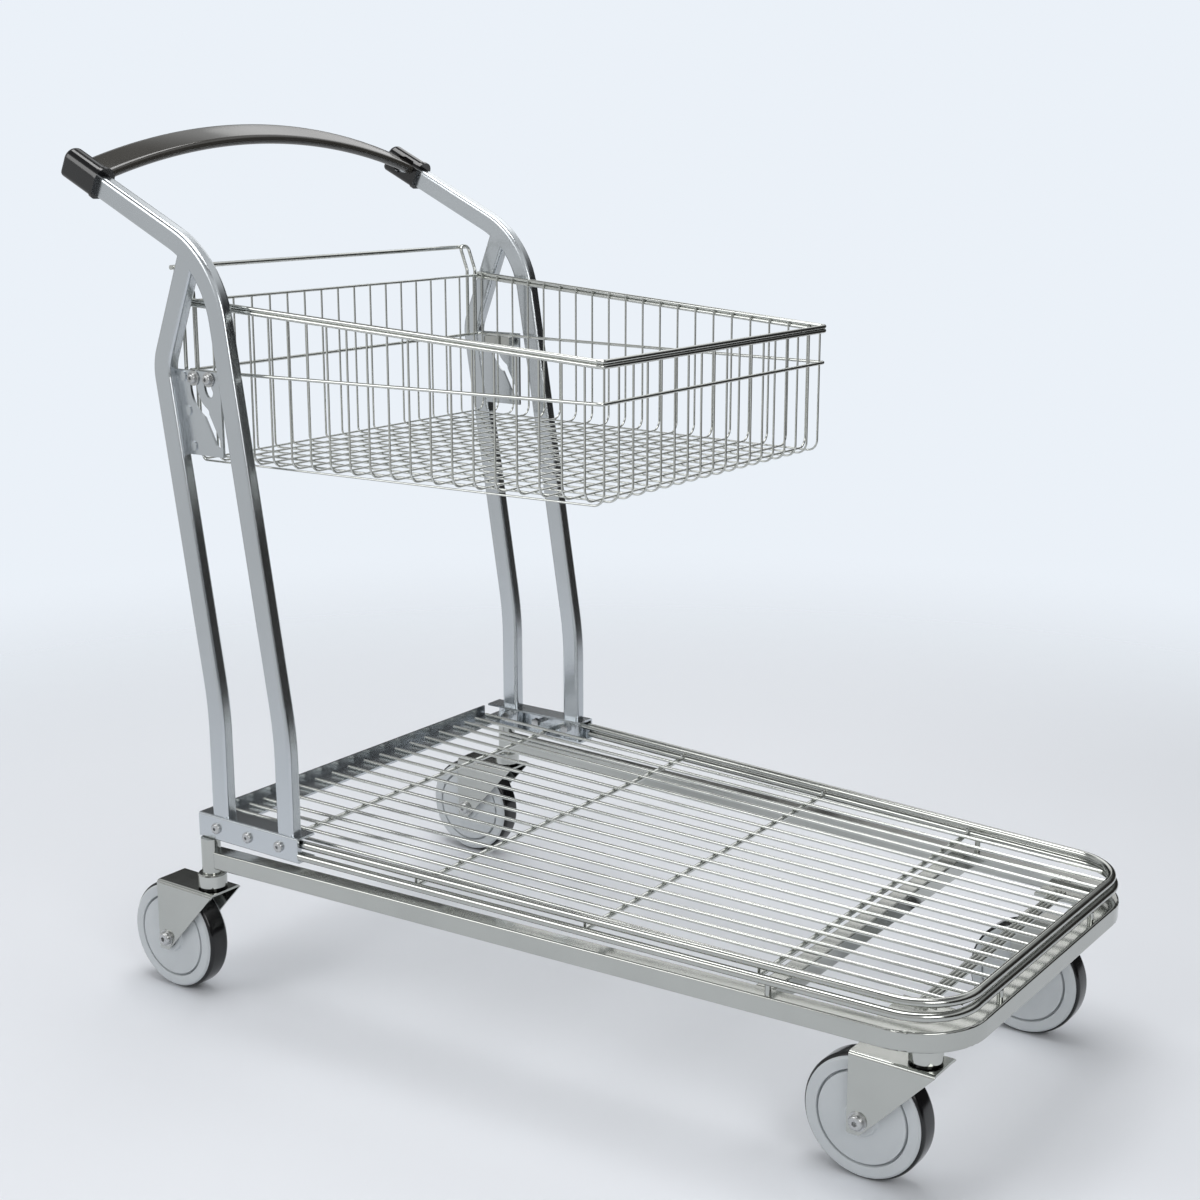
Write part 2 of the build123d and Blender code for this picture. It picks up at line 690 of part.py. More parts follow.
def cross_rod(x):
    """A cross rod between the lower rim rods, with a short stub under the upper rim rod at each end."""
    behind_rim = x < BRACKET_FRONT
    lean = math.radians(DECK_TAPER)
    rim_face = rim_y(x, LOWER_RIM_INSET) - RIM_ROD_D / 2 / math.cos(lean) - CROSS_ROD_D / 2 * math.tan(lean)
    half = BRACKET_Y if behind_rim else rim_face
    with BuildPart() as rod:
        add(straight_rod(on_deck(x, -half, LOWER_DROP), on_deck(x, half, LOWER_DROP), CROSS_ROD_D))
        if not behind_rim:
            for side in SIDES.values():
                stub_y = side * rim_y(x, UPPER_RIM_INSET)
                top = RIM_ROD_D / 2
                add(straight_rod(on_deck(x, stub_y, LOWER_DROP), on_deck(x, stub_y, top), STUB_D))
    return rod.part


with BuildPart() as deck_cross_rods:
    add([cross_rod(x) for x in CROSS_ROD_X])
save(deck_cross_rods.part, "deck_cross_rods")


def standoff(x, y):
    """A short post from the chassis tube up to the underside of the lower rim rod."""
    top = on_deck(x, 0, LOWER_DROP + RIM_ROD_D / 2).Z
    return straight_rod((x, y, CHASSIS_TOP), (x, y, top), STANDOFF_D)


with BuildPart() as deck_standoffs:
    for side in SIDES.values():
        over_rail = rim_y(CROSS_ROD_X[-1], LOWER_RIM_INSET) - STANDOFF_D / 2
        add(standoff(CROSS_ROD_X[-1] + CROSS_ROD_D + STANDOFF_D, side * over_rail))
        add(standoff(lower_front, side * STANDOFF_FRONT_Y))
save(deck_standoffs.part, "deck_standoffs")

angle_half = UPRIGHT_INNER_Y - NUT_HEIGHT - ANGLE_NUT_CLEAR
tongue_x = BRACKET_REAR + ANGLE_FROM_BRACKET + ANGLE_TONGUE / 2
with BuildPart() as deck_rear_angle:
    with BuildSketch(DECK.offset(-WIRE_DROP - LONG_WIRE_D / 2)):
        with Locations((ANGLE_REAR + ANGLE_WIDTH / 2, 0)):
            Rectangle(ANGLE_WIDTH, 2 * angle_half)
        with Locations((tongue_x, 0)):
            Rectangle(ANGLE_TONGUE, 2 * BRACKET_Y)
    extrude(amount=-ANGLE_SHEET)
    with BuildSketch(DECK.offset(-WIRE_DROP - LONG_WIRE_D / 2 - ANGLE_SHEET)):
        with Locations((ANGLE_REAR + ANGLE_SHEET / 2, 0)):
            Rectangle(ANGLE_SHEET, 2 * angle_half)
    extrude(amount=ANGLE_HEIGHT)
save(deck_rear_angle.part, "deck_rear_angle")

# ---------------------------------------------------------------- brackets and uprights


def side_bracket(side):
    """A channel that opens inwards, with the uprights' feet standing through its top flange."""
    outer = BRACKET_Y + BRACKET_SHEET
    with BuildPart() as bracket:
        with BuildSketch(Plane.YZ.offset(BRACKET_REAR)):
            Polygon(
                (outer, BRACKET_BOTTOM),
                (outer, BRACKET_TOP),
                (BRACKET_LIP_Y, BRACKET_TOP),
                (BRACKET_LIP_Y, BRACKET_TOP - BRACKET_SHEET),
                (BRACKET_Y, BRACKET_TOP - BRACKET_SHEET),
                (BRACKET_Y, BRACKET_BOTTOM + BRACKET_SHEET),
                (BRACKET_LIP_Y, BRACKET_BOTTOM + BRACKET_SHEET),
                (BRACKET_LIP_Y, BRACKET_BOTTOM),
                align=None,
            )
        extrude(amount=BRACKET_LENGTH)
        fillet(bracket.edges().filter_by(Axis.X).group_by(Axis.Y)[-1], BRACKET_EDGE)
        with BuildSketch(Plane.XY.offset(BRACKET_TOP)):
            with Locations((FRONT_FOOT_X, UPRIGHT_Y), (REAR_FOOT_X, UPRIGHT_Y)):
                RectangleRounded(UPRIGHT_DEPTH, UPRIGHT_WIDTH, UPRIGHT_CORNER)
        extrude(amount=-BRACKET_SHEET, mode=Mode.SUBTRACT)
        with BuildSketch(Plane.XZ.offset(-outer)):
            with Locations(*[(x, BOLT_Z) for x in BOLT_X]):
                Circle(BOLT_D / 2)
        extrude(amount=BRACKET_SHEET, mode=Mode.SUBTRACT)
    return bracket.part if side > 0 else mirror(bracket.part, about=Plane.XZ)


FRONT_ROUTE = (
    (FRONT_FOOT_X, FOOT_Z),
    (FRONT_FOOT_X, FOOT_Z + FRONT_LOW_RISE),
    (FRONT_FOOT_X - FRONT_LEAN, FOOT_Z + FRONT_HIGH_RISE),
    (FRONT_FOOT_X - FRONT_LEAN - GRIP_REACH, FOOT_Z + FRONT_HIGH_RISE + GRIP_RISE),
)
REAR_ROUTE = (
    (REAR_FOOT_X, FOOT_Z),
    (REAR_FOOT_X, FOOT_Z + REAR_LOW_RISE),
    (REAR_FOOT_X - REAR_LEAN, FOOT_Z + REAR_HIGH_RISE),
    (REAR_FOOT_X - REAR_LEAN + REAR_TOP_FORWARD, FOOT_Z + REAR_HIGH_RISE + REAR_TOP_RISE),
)


def upright(route, high_bend, solid=False):
    """A left upright along its route in the XZ plane, as a tube or as the solid that fills it."""
    with BuildPart() as tube:
        with BuildLine() as bent:
            FilletPolyline(*[(x, UPRIGHT_Y, z) for x, z in route], radius=[LOW_BEND, high_bend])
        with BuildSketch(Plane(origin=bent.line @ 0, x_dir=(1, 0, 0), z_dir=(0, 0, 1))):
            RectangleRounded(UPRIGHT_DEPTH, UPRIGHT_WIDTH, UPRIGHT_CORNER)
            if not solid:
                RectangleRounded(
                    UPRIGHT_DEPTH - 2 * UPRIGHT_WALL,
                    UPRIGHT_WIDTH - 2 * UPRIGHT_WALL,
                    UPRIGHT_CORNER - UPRIGHT_WALL,
                    mode=Mode.SUBTRACT,
                )
        sweep(path=bent.line)
        if not solid:
            with BuildSketch(Plane.XZ.offset(-BRACKET_Y)):
                with Locations(*[(x, BOLT_Z) for x in BOLT_X]):
                    Circle(BOLT_D / 2)
            extrude(amount=UPRIGHT_WIDTH, mode=Mode.SUBTRACT)
    return tube.part


front_filled = upright(FRONT_ROUTE, FRONT_HIGH_BEND, solid=True)
rear_filled = upright(REAR_ROUTE, REAR_HIGH_BEND, solid=True)
with BuildPart() as upright_front:
    add(upright(FRONT_ROUTE, FRONT_HIGH_BEND))
with BuildPart() as upright_rear:
    add(upright(REAR_ROUTE, REAR_HIGH_BEND))
    add(front_filled, mode=Mode.SUBTRACT)
rear_tube = upright_rear.part.solids().sort_by(SortBy.VOLUME)[-1]
for name, side in SIDES.items():
    save(side_bracket(side), f"side_bracket_{name}")
    front_tube = upright_front.part
    save(front_tube if side > 0 else mirror(front_tube, about=Plane.XZ), f"upright_front_{name}")
    save(rear_tube if side > 0 else mirror(rear_tube, about=Plane.XZ), f"upright_rear_{name}")

bolt_length = BRACKET_SHEET + UPRIGHT_WIDTH + NUT_HEIGHT
bracket_bolt = button_bolt(BOLT_D, bolt_length, BOLT_HEAD_D, BOLT_HEAD_HEIGHT, BOLT_SOCKET)
bracket_nut = hex_nut(NUT_ACROSS, BOLT_D, NUT_HEIGHT)
with BuildPart() as bracket_bolts:
    for side in SIDES.values():
        head_y = side * (BRACKET_Y + BRACKET_SHEET)
        add([facing(x, head_y, BOLT_Z, side) * bracket_bolt for x in BOLT_X])
save(bracket_bolts.part, "bracket_bolts")

with BuildPart() as bracket_nuts:
    for side in SIDES.values():
        add([facing(x, side * UPRIGHT_INNER_Y, BOLT_Z, -side) * bracket_nut for x in BOLT_X])
save(bracket_nuts.part, "bracket_nuts")

# ---------------------------------------------------------------- push handle

grip_length = math.hypot(GRIP_REACH, GRIP_RISE)
grip_way = Vector(-GRIP_REACH / grip_length, 0, GRIP_RISE / grip_length)
grip_end = Vector(FRONT_ROUTE[-1][0], UPRIGHT_Y, FRONT_ROUTE[-1][1])
cap_start = grip_end - grip_way * CAP_COVER
bar_middle = cap_start + grip_way * BAR_IN_CAP
bar_end_z = bar_middle.Z + BAR_OVER_AXIS
with BuildPart() as handle_bar:
    with BuildLine() as arch:
        ThreePointArc(
            (bar_middle.X, -UPRIGHT_Y, bar_end_z),
            (bar_middle.X, 0, bar_end_z + BAR_ARCH),
            (bar_middle.X, UPRIGHT_Y, bar_end_z),
        )
    with BuildSketch(Plane(origin=arch.line @ 0, x_dir=(1, 0, 0), z_dir=arch.line % 0)):
        RectangleRounded(BAR_WIDTH, BAR_HEIGHT, BAR_CORNER)
    sweep(path=arch.line)
    split(bisect_by=Plane(origin=(0, UPRIGHT_INNER_Y, 0), z_dir=(0, 1, 0)), keep=Keep.BOTTOM)
    split(bisect_by=Plane(origin=(0, -UPRIGHT_INNER_Y, 0), z_dir=(0, -1, 0)), keep=Keep.BOTTOM)
save(handle_bar.part, "handle_bar")

grip_up = Vector(grip_way.Z, 0, -grip_way.X)
cap_plane = Plane(origin=cap_start + grip_up * CAP_RAISE, x_dir=(0, -1, 0), z_dir=grip_way)


def cap_outline(proud):
    """The cap's section across the tube: well rounded on top, less below."""
    with BuildSketch(cap_plane) as outline:
        Rectangle(CAP_WIDTH + 2 * proud, CAP_HEIGHT + 2 * proud)
        fillet(outline.vertices().sort_by(Axis.Y)[2:], CAP_TOP_ROUND + proud)
        fillet(outline.vertices().sort_by(Axis.Y)[:2], CAP_BOTTOM_ROUND + proud)
    return outline.sketch


with BuildPart() as handle_cap:
    extrude(cap_outline(0), amount=CAP_LENGTH)
    fillet(handle_cap.faces().sort_by(Axis(grip_end, grip_way))[-1].edges(), CAP_END_ROUND)
    extrude(cap_outline(CAP_LIP_PROUD), amount=CAP_LIP)
    add(front_filled, mode=Mode.SUBTRACT)
    add(handle_bar.part, mode=Mode.SUBTRACT)
save(handle_cap.part, "handle_cap_left")
save(mirror(handle_cap.part, about=Plane.XZ), "handle_cap_right")

# ---------------------------------------------------------------- hinge plates


def round_pivot(reach, angle):
    """A point in the XZ plane at a distance and angle from the hinge axis."""
    turn = math.radians(angle)
    return (PIVOT_X + reach * math.cos(turn), PIVOT_Z + reach * math.sin(turn))


plate_inner_y = UPRIGHT_Y - HINGE_PLATE_INSET
swings = [
    CenterArc((PIVOT_X, PIVOT_Z), reach, angle, HINGE_SWING) for reach, angle in zip(STUD_REACH, STUD_ANGLE)
]
swing_end = round_pivot(STUD_REACH[1], STUD_ANGLE[1] + HINGE_SWING)
tail = Line(swing_end, round_pivot(TAIL_REACH, TAIL_ANGLE))
with BuildPart() as hinge_plate:
    with BuildSketch(Plane.XZ.offset(-plate_inner_y - HINGE_PLATE)):
        with BuildLine():
            Polyline(
                (FRONT_FOOT_X - FRONT_LEAN, PIVOT_Z + HINGE_PLATE_UP),
                (FRONT_FOOT_X - FRONT_LEAN, PIVOT_Z - HINGE_PLATE_DOWN),
                (REAR_FOOT_X - REAR_LEAN, PIVOT_Z - HINGE_PLATE_DOWN),
                (REAR_FOOT_X - REAR_LEAN, PIVOT_Z + HINGE_PLATE_UP),
                close=True,
            )
        make_face()
        for swing in swings:
            SlotArc(swing, SLOT_WIDTH, mode=Mode.SUBTRACT)
        SlotArc(tail, TAIL_WIDTH, mode=Mode.SUBTRACT)
    extrude(amount=HINGE_PLATE)
    add(front_filled, mode=Mode.SUBTRACT)
    add(rear_filled, mode=Mode.SUBTRACT)
    with BuildSketch(Plane.XZ.offset(-plate_inner_y - HINGE_PLATE - TAB_THICK)):
        for rise in TAB_RISE:
            lean_at = (PIVOT_Z + rise - FOOT_Z - REAR_LOW_RISE) / (REAR_HIGH_RISE - REAR_LOW_RISE)
            face_x = REAR_FOOT_X - REAR_LEAN * lean_at + UPRIGHT_DEPTH / 2
            with Locations((face_x + TAB_LENGTH / 2, PIVOT_Z + rise)):
                RectangleRounded(TAB_LENGTH, TAB_HEIGHT, TAB_HEIGHT * 0.4)
    extrude(amount=TAB_THICK)
    add(rear_filled, mode=Mode.SUBTRACT)
hinge_body = hinge_plate.part.solids().sort_by(SortBy.VOLUME)[-1]
for name, side in SIDES.items():
    save(hinge_body if side > 0 else mirror(hinge_body, about=Plane.XZ), f"hinge_plate_{name}")

# ---------------------------------------------------------------- basket


def wall_y(x):
    """Distance of the basket's side wires from the middle plane."""
    back = LUG_INNER_Y - LUG_TO_WIRES
    return back - (x - BASKET_BACK) * math.tan(math.radians(BASKET_TAPER))


def rim_z(x):
    """Height of the middle of the basket's two rim rods, which slope down to the front."""
    share = (x - BASKET_BACK) / BASKET_LENGTH
    return PIVOT_Z + RIM_RISE_BACK + share * (RIM_RISE_FRONT - RIM_RISE_BACK)


def basket_rim(lift):
    """A U-shaped rim rod round the sides and front of the basket."""
    out = (WIRE_D + BASKET_RIM_D) / 2
    front = BASKET_FRONT + out
    back = BASKET_BACK - out
    corners = [(back, 1), (front, 1), (front, -1), (back, -1)]
    points = [(x, side * (wall_y(x) + out), rim_z(x) + lift) for x, side in corners]
    return bent_rod(points, [RING_BEND, RING_BEND], BASKET_RIM_D)


with BuildPart() as basket_rim_rods:
    add([basket_rim(BASKET_RIM_D * 0.505), basket_rim(-BASKET_RIM_D * 0.505)])
save(basket_rim_rods.part, "basket_rim_rods")

ring_out = (WIRE_D + RING_D) / 2
ring_ends = (BASKET_BACK - ring_out, BASKET_FRONT + ring_out)
ring_corners = [(ring_ends[0], 1), (ring_ends[1], 1), (ring_ends[1], -1), (ring_ends[0], -1)]
ring_points = [(x, side * (wall_y(x) + ring_out), RING_Z) for x, side in ring_corners]
save(bent_rod(ring_points, [RING_BEND] * len(ring_points), RING_D, close=True), "basket_ring")

back_rim_x = BASKET_BACK - (WIRE_D + BACK_RIM_D) / 2
back_rim_half = wall_y(back_rim_x) + WIRE_D / 2 - 0.1
save(
    straight_rod(
        (back_rim_x, -back_rim_half, rim_z(BASKET_BACK)),
        (back_rim_x, back_rim_half, rim_z(BASKET_BACK)),
        BACK_RIM_D,
    ),
    "basket_back_rim",
)


def cross_wire(index):
    """One U-shaped wire down a side wall, across the floor and up the other side."""
    x = BASKET_BACK + FLOOR_BEND_BACK + index * CROSS_WIRE_PITCH
    y = wall_y(x)
    top = rim_z(x) + BASKET_RIM_D / 2
    floor = FLOOR_Z + WIRE_D
    return bent_rod([(x, -y, top), (x, -y, floor), (x, y, floor), (x, y, top)], [FLOOR_BEND] * 2, WIRE_D)


def long_wire(place):
    """One U-shaped wire down the back wall, along the floor and up the front wall."""
    back_y = place * LONG_SPACING_BACK
    front_y = place * LONG_SPACING_FRONT
    points = [
        (BASKET_BACK, back_y, rim_z(BASKET_BACK)),
        (BASKET_BACK, back_y, FLOOR_Z),
        (BASKET_FRONT, front_y, FLOOR_Z),
        (BASKET_FRONT, front_y, rim_z(BASKET_FRONT) + BASKET_RIM_D / 2),
    ]
    return bent_rod(points, [FLOOR_BEND_BACK, FLOOR_BEND], WIRE_D)


with BuildPart() as basket_cross_wires:
    add([cross_wire(index) for index in range(CROSS_WIRES)])
save(basket_cross_wires.part, "basket_cross_wires")

with BuildPart() as basket_long_wires:
    add([long_wire(index + 0.5 - LONG_WIRES / 2) for index in range(LONG_WIRES)])
save(basket_long_wires.part, "basket_long_wires")


def hairpin(side):
    """A looped rod at a rear corner, leaning back over the rim to carry the back bar."""
    outer = side * (wall_y(BASKET_BACK) + HAIRPIN_INSET)
    inner = outer - side * HAIRPIN_WIDTH
    x = ring_ends[0] - (RING_D + HAIRPIN_D) / 2
    bottom = RING_Z - RING_D / 2
    lean_z = PIVOT_Z + HAIRPIN_STRAIGHT
    top_z = PIVOT_Z + HAIRPIN_RISE
    points = [
        (x, outer, bottom),
        (x, outer, lean_z),
        (x - HAIRPIN_LEAN, outer, top_z),
        (x - HAIRPIN_LEAN, inner, top_z),
        (x, inner, lean_z),
        (x, inner, bottom),
    ]
    bends = [HAIRPIN_LEAN_BEND, HAIRPIN_TOP_BEND, HAIRPIN_TOP_BEND, HAIRPIN_LEAN_BEND]
    return bent_rod(points, bends, HAIRPIN_D)


with BuildPart() as basket_back_hairpins:
    add([hairpin(1), hairpin(-1)])
save(basket_back_hairpins.part, "basket_back_hairpins")

hairpin_x = ring_ends[0] - (RING_D + HAIRPIN_D) / 2
lean_way = Vector(-HAIRPIN_LEAN, 0, HAIRPIN_RISE - HAIRPIN_STRAIGHT).normalized()
lean_out = Vector(-lean_way.Z, 0, lean_way.X)
hairpin_top = Vector(hairpin_x - HAIRPIN_LEAN, 0, PIVOT_Z + HAIRPIN_RISE)
bar_seat = hairpin_top + lean_out * ((HAIRPIN_D + BACK_BAR_D) / 2)
back_bar_half = wall_y(BASKET_BACK) + BACK_BAR_OVERHANG
save(
    straight_rod(
        (bar_seat.X, -back_bar_half, bar_seat.Z), (bar_seat.X, back_bar_half, bar_seat.Z), BACK_BAR_D
    ),
    "basket_back_bar",
)

stud_places = [round_pivot(reach, angle) for reach, angle in zip(STUD_REACH, STUD_ANGLE)]
lug_top = RING_Z - RING_D / 2
with BuildPart() as hinge_lugs:
    with BuildSketch(Plane.XZ.offset(-LUG_OUTER_Y)):
        with Locations(((stud_places[0][0] + stud_places[1][0]) / 2, lug_top - LUG_HEIGHT / 2)):
            RectangleRounded(LUG_LENGTH, LUG_HEIGHT, LUG_HEIGHT * 0.2)
    extrude(amount=LUG_THICK)
    mirror(about=Plane.XZ)
save(hinge_lugs.part, "hinge_lugs")

stud_under_head = HINGE_PLATE + SIDE_PLAY + HEAD_SIDE_PLAY + WASHER_THICK
boss_end_y = plate_inner_y - SIDE_PLAY
stud_head_y = boss_end_y + stud_under_head


def hinge_stud():
    """A shouldered stud: a boss welded to the lug, a shank through the slot and a button head."""
    with BuildPart() as stud:
        add(button_bolt(STUD_SHANK_D, stud_under_head, STUD_HEAD_D, STUD_HEAD_HEIGHT, STUD_SOCKET))
        with BuildSketch(Plane.XY.offset(-stud_under_head)):
            Circle(STUD_BOSS_D / 2)
        extrude(amount=-BOSS_LENGTH)
    return stud.part


stud = hinge_stud()
with BuildPart() as hinge_studs:
    for side in SIDES.values():
        add([facing(x, side * stud_head_y, z, side) * stud for x, z in stud_places])
save(hinge_studs.part, "hinge_studs")

stud_washer = ring(WASHER_D, STUD_SHANK_D, WASHER_THICK)
with BuildPart() as stud_washers:
    for side in SIDES.values():
        washer_y = side * (stud_head_y - WASHER_THICK)
        add([facing(x, washer_y, z, side) * stud_washer for x, z in stud_places])
save(stud_washers.part, "stud_washers")
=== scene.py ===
"""Looks of the nesting shopping trolley: finishes, detailed wheels, push handle, welds and a studio."""

import json
import logging
import math
from dataclasses import dataclass
from enum import Enum
from typing import Iterable, Sequence

import bmesh
import bpy
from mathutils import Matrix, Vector

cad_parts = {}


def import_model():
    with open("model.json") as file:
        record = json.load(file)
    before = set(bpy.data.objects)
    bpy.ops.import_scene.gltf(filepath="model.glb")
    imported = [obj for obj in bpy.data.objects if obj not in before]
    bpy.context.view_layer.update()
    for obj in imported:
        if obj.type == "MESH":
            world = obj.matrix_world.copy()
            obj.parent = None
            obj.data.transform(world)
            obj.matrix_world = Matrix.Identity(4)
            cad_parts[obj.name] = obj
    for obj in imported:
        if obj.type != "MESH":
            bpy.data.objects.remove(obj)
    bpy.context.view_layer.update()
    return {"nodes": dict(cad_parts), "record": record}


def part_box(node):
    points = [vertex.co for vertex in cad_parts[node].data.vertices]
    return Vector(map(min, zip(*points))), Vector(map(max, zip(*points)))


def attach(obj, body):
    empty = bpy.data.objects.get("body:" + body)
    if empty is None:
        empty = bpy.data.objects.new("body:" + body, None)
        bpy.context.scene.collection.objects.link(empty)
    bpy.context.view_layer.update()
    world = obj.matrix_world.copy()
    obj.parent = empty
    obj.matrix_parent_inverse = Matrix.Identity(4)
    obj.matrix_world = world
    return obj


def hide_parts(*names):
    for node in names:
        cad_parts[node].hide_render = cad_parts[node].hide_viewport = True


LOG = logging.getLogger("trolley")
CORNERS = ("rear_left", "rear_right", "front_left", "front_right")
MM = 0.001
SCUFF_STRETCH = (1.0, 3.2, 0.7)
SCUFF_WIDTH = 0.035
BROAD_LOW, BROAD_HIGH = 0.3, 0.7

Point = tuple[float, float, float]
Colour = tuple[float, float, float]
Stops = tuple[tuple[float, float], ...]


class Slot(Enum):
    """The record's material slots, by the part of the trolley that they finish."""

    FRAME = "frame_chrome"
    WIRE = "wire_chrome"
    SILVER = "silver_steel"
    FASTENER = "fastener_steel"
    BEARING = "bearing_steel"
    WHEEL = "wheel_plastic"
    TYRE = "tyre_rubber"
    HANDLE = "handle_plastic"
    CAP = "cap_plastic"


# ---------------------------------------------------------------- shader groups


def new_group(name: str, inputs: dict[str, float], outputs: Sequence[str]) -> bpy.types.NodeTree:
    """Make an empty shader group with a vector input, float inputs and float outputs.

    Args:
        name: The group's name.
        inputs: Each float input with its default value.
        outputs: The names of the float outputs.

    Returns:
        The new group, with its input and output nodes in place.
    """
    tree = bpy.data.node_groups.new(name, "ShaderNodeTree")
    tree.interface.new_socket("Vector", in_out="INPUT", socket_type="NodeSocketVector")
    for label, value in inputs.items():
        socket = tree.interface.new_socket(label, in_out="INPUT", socket_type="NodeSocketFloat")
        socket.default_value = value
    for label in outputs:
        tree.interface.new_socket(label, in_out="OUTPUT", socket_type="NodeSocketFloat")
    tree.nodes.new("NodeGroupInput").name = "in"
    tree.nodes.new("NodeGroupOutput").name = "out"
    return tree


def surface_grain_group() -> bpy.types.NodeTree:
    """Make the group that gives fine grain, broad mottling and sparse scuffs on Object coordinates.

    Returns:
        The group with outputs Fine, Broad and Scuff, each from 0 to 1.
    """
    tree = new_group("surface_grain", {"Fine Scale": 900.0, "Broad Scale": 9.0}, ("Fine", "Broad", "Scuff"))
    nodes, links = tree.nodes, tree.links
    source, sink = nodes["in"], nodes["out"]
    fine = nodes.new("ShaderNodeTexNoise")
    fine.inputs["Detail"].default_value = 3.0
    broad = nodes.new("ShaderNodeTexNoise")
    broad.inputs["Detail"].default_value = 4.0
    broad.inputs["Roughness"].default_value = 0.6
    scuff = nodes.new("ShaderNodeTexVoronoi")
    scuff.feature = "DISTANCE_TO_EDGE"
    warp = nodes.new("ShaderNodeVectorMath")
    warp.operation = "MULTIPLY"
    warp.inputs[1].default_value = SCUFF_STRETCH
    narrow = nodes.new("ShaderNodeMapRange")
    narrow.inputs["From Min"].default_value = 0.0
    narrow.inputs["From Max"].default_value = SCUFF_WIDTH
    narrow.inputs["To Min"].default_value = 1.0
    narrow.inputs["To Max"].default_value = 0.0
    sparse = nodes.new("ShaderNodeMath")
    sparse.operation = "MULTIPLY"
    for node, scale in ((fine, "Fine Scale"), (broad, "Broad Scale")):
        links.new(source.outputs["Vector"], node.inputs["Vector"])
        links.new(source.outputs[scale], node.inputs["Scale"])
    links.new(source.outputs["Vector"], warp.inputs[0])
    links.new(warp.outputs[0], scuff.inputs["Vector"])
    links.new(source.outputs["Broad Scale"], scuff.inputs["Scale"])
    links.new(scuff.outputs["Distance"], narrow.inputs["Value"])
    links.new(narrow.outputs["Result"], sparse.inputs[0])
    links.new(broad.outputs["Fac"], sparse.inputs[1])
    links.new(fine.outputs["Fac"], sink.inputs["Fine"])
    links.new(broad.outputs["Fac"], sink.inputs["Broad"])
    links.new(sparse.outputs[0], sink.inputs["Scuff"])
    return tree


def band_group() -> bpy.types.NodeTree:
    """Make the group that marks what lies below a height, with a soft edge.

    Returns:
        The group with the output Mask, 1 below Level and 0 above it.
    """
    tree = new_group("below_level", {"Level": 0.1, "Edge": 0.0006}, ("Mask",))
    nodes, links = tree.nodes, tree.links
    split = nodes.new("ShaderNodeSeparateXYZ")
    upper = nodes.new("ShaderNodeMath")
    upper.operation = "ADD"
    ramp = nodes.new("ShaderNodeMapRange")
    ramp.inputs["To Min"].default_value = 1.0
    ramp.inputs["To Max"].default_value = 0.0
    links.new(nodes["in"].outputs["Vector"], split.inputs[0])
    links.new(split.outputs["Z"], ramp.inputs["Value"])
    links.new(nodes["in"].outputs["Level"], ramp.inputs["From Min"])
    links.new(nodes["in"].outputs["Level"], upper.inputs[0])
    links.new(nodes["in"].outputs["Edge"], upper.inputs[1])
    links.new(upper.outputs[0], ramp.inputs["From Max"])
    links.new(ramp.outputs["Result"], nodes["out"].inputs["Mask"])
    return tree


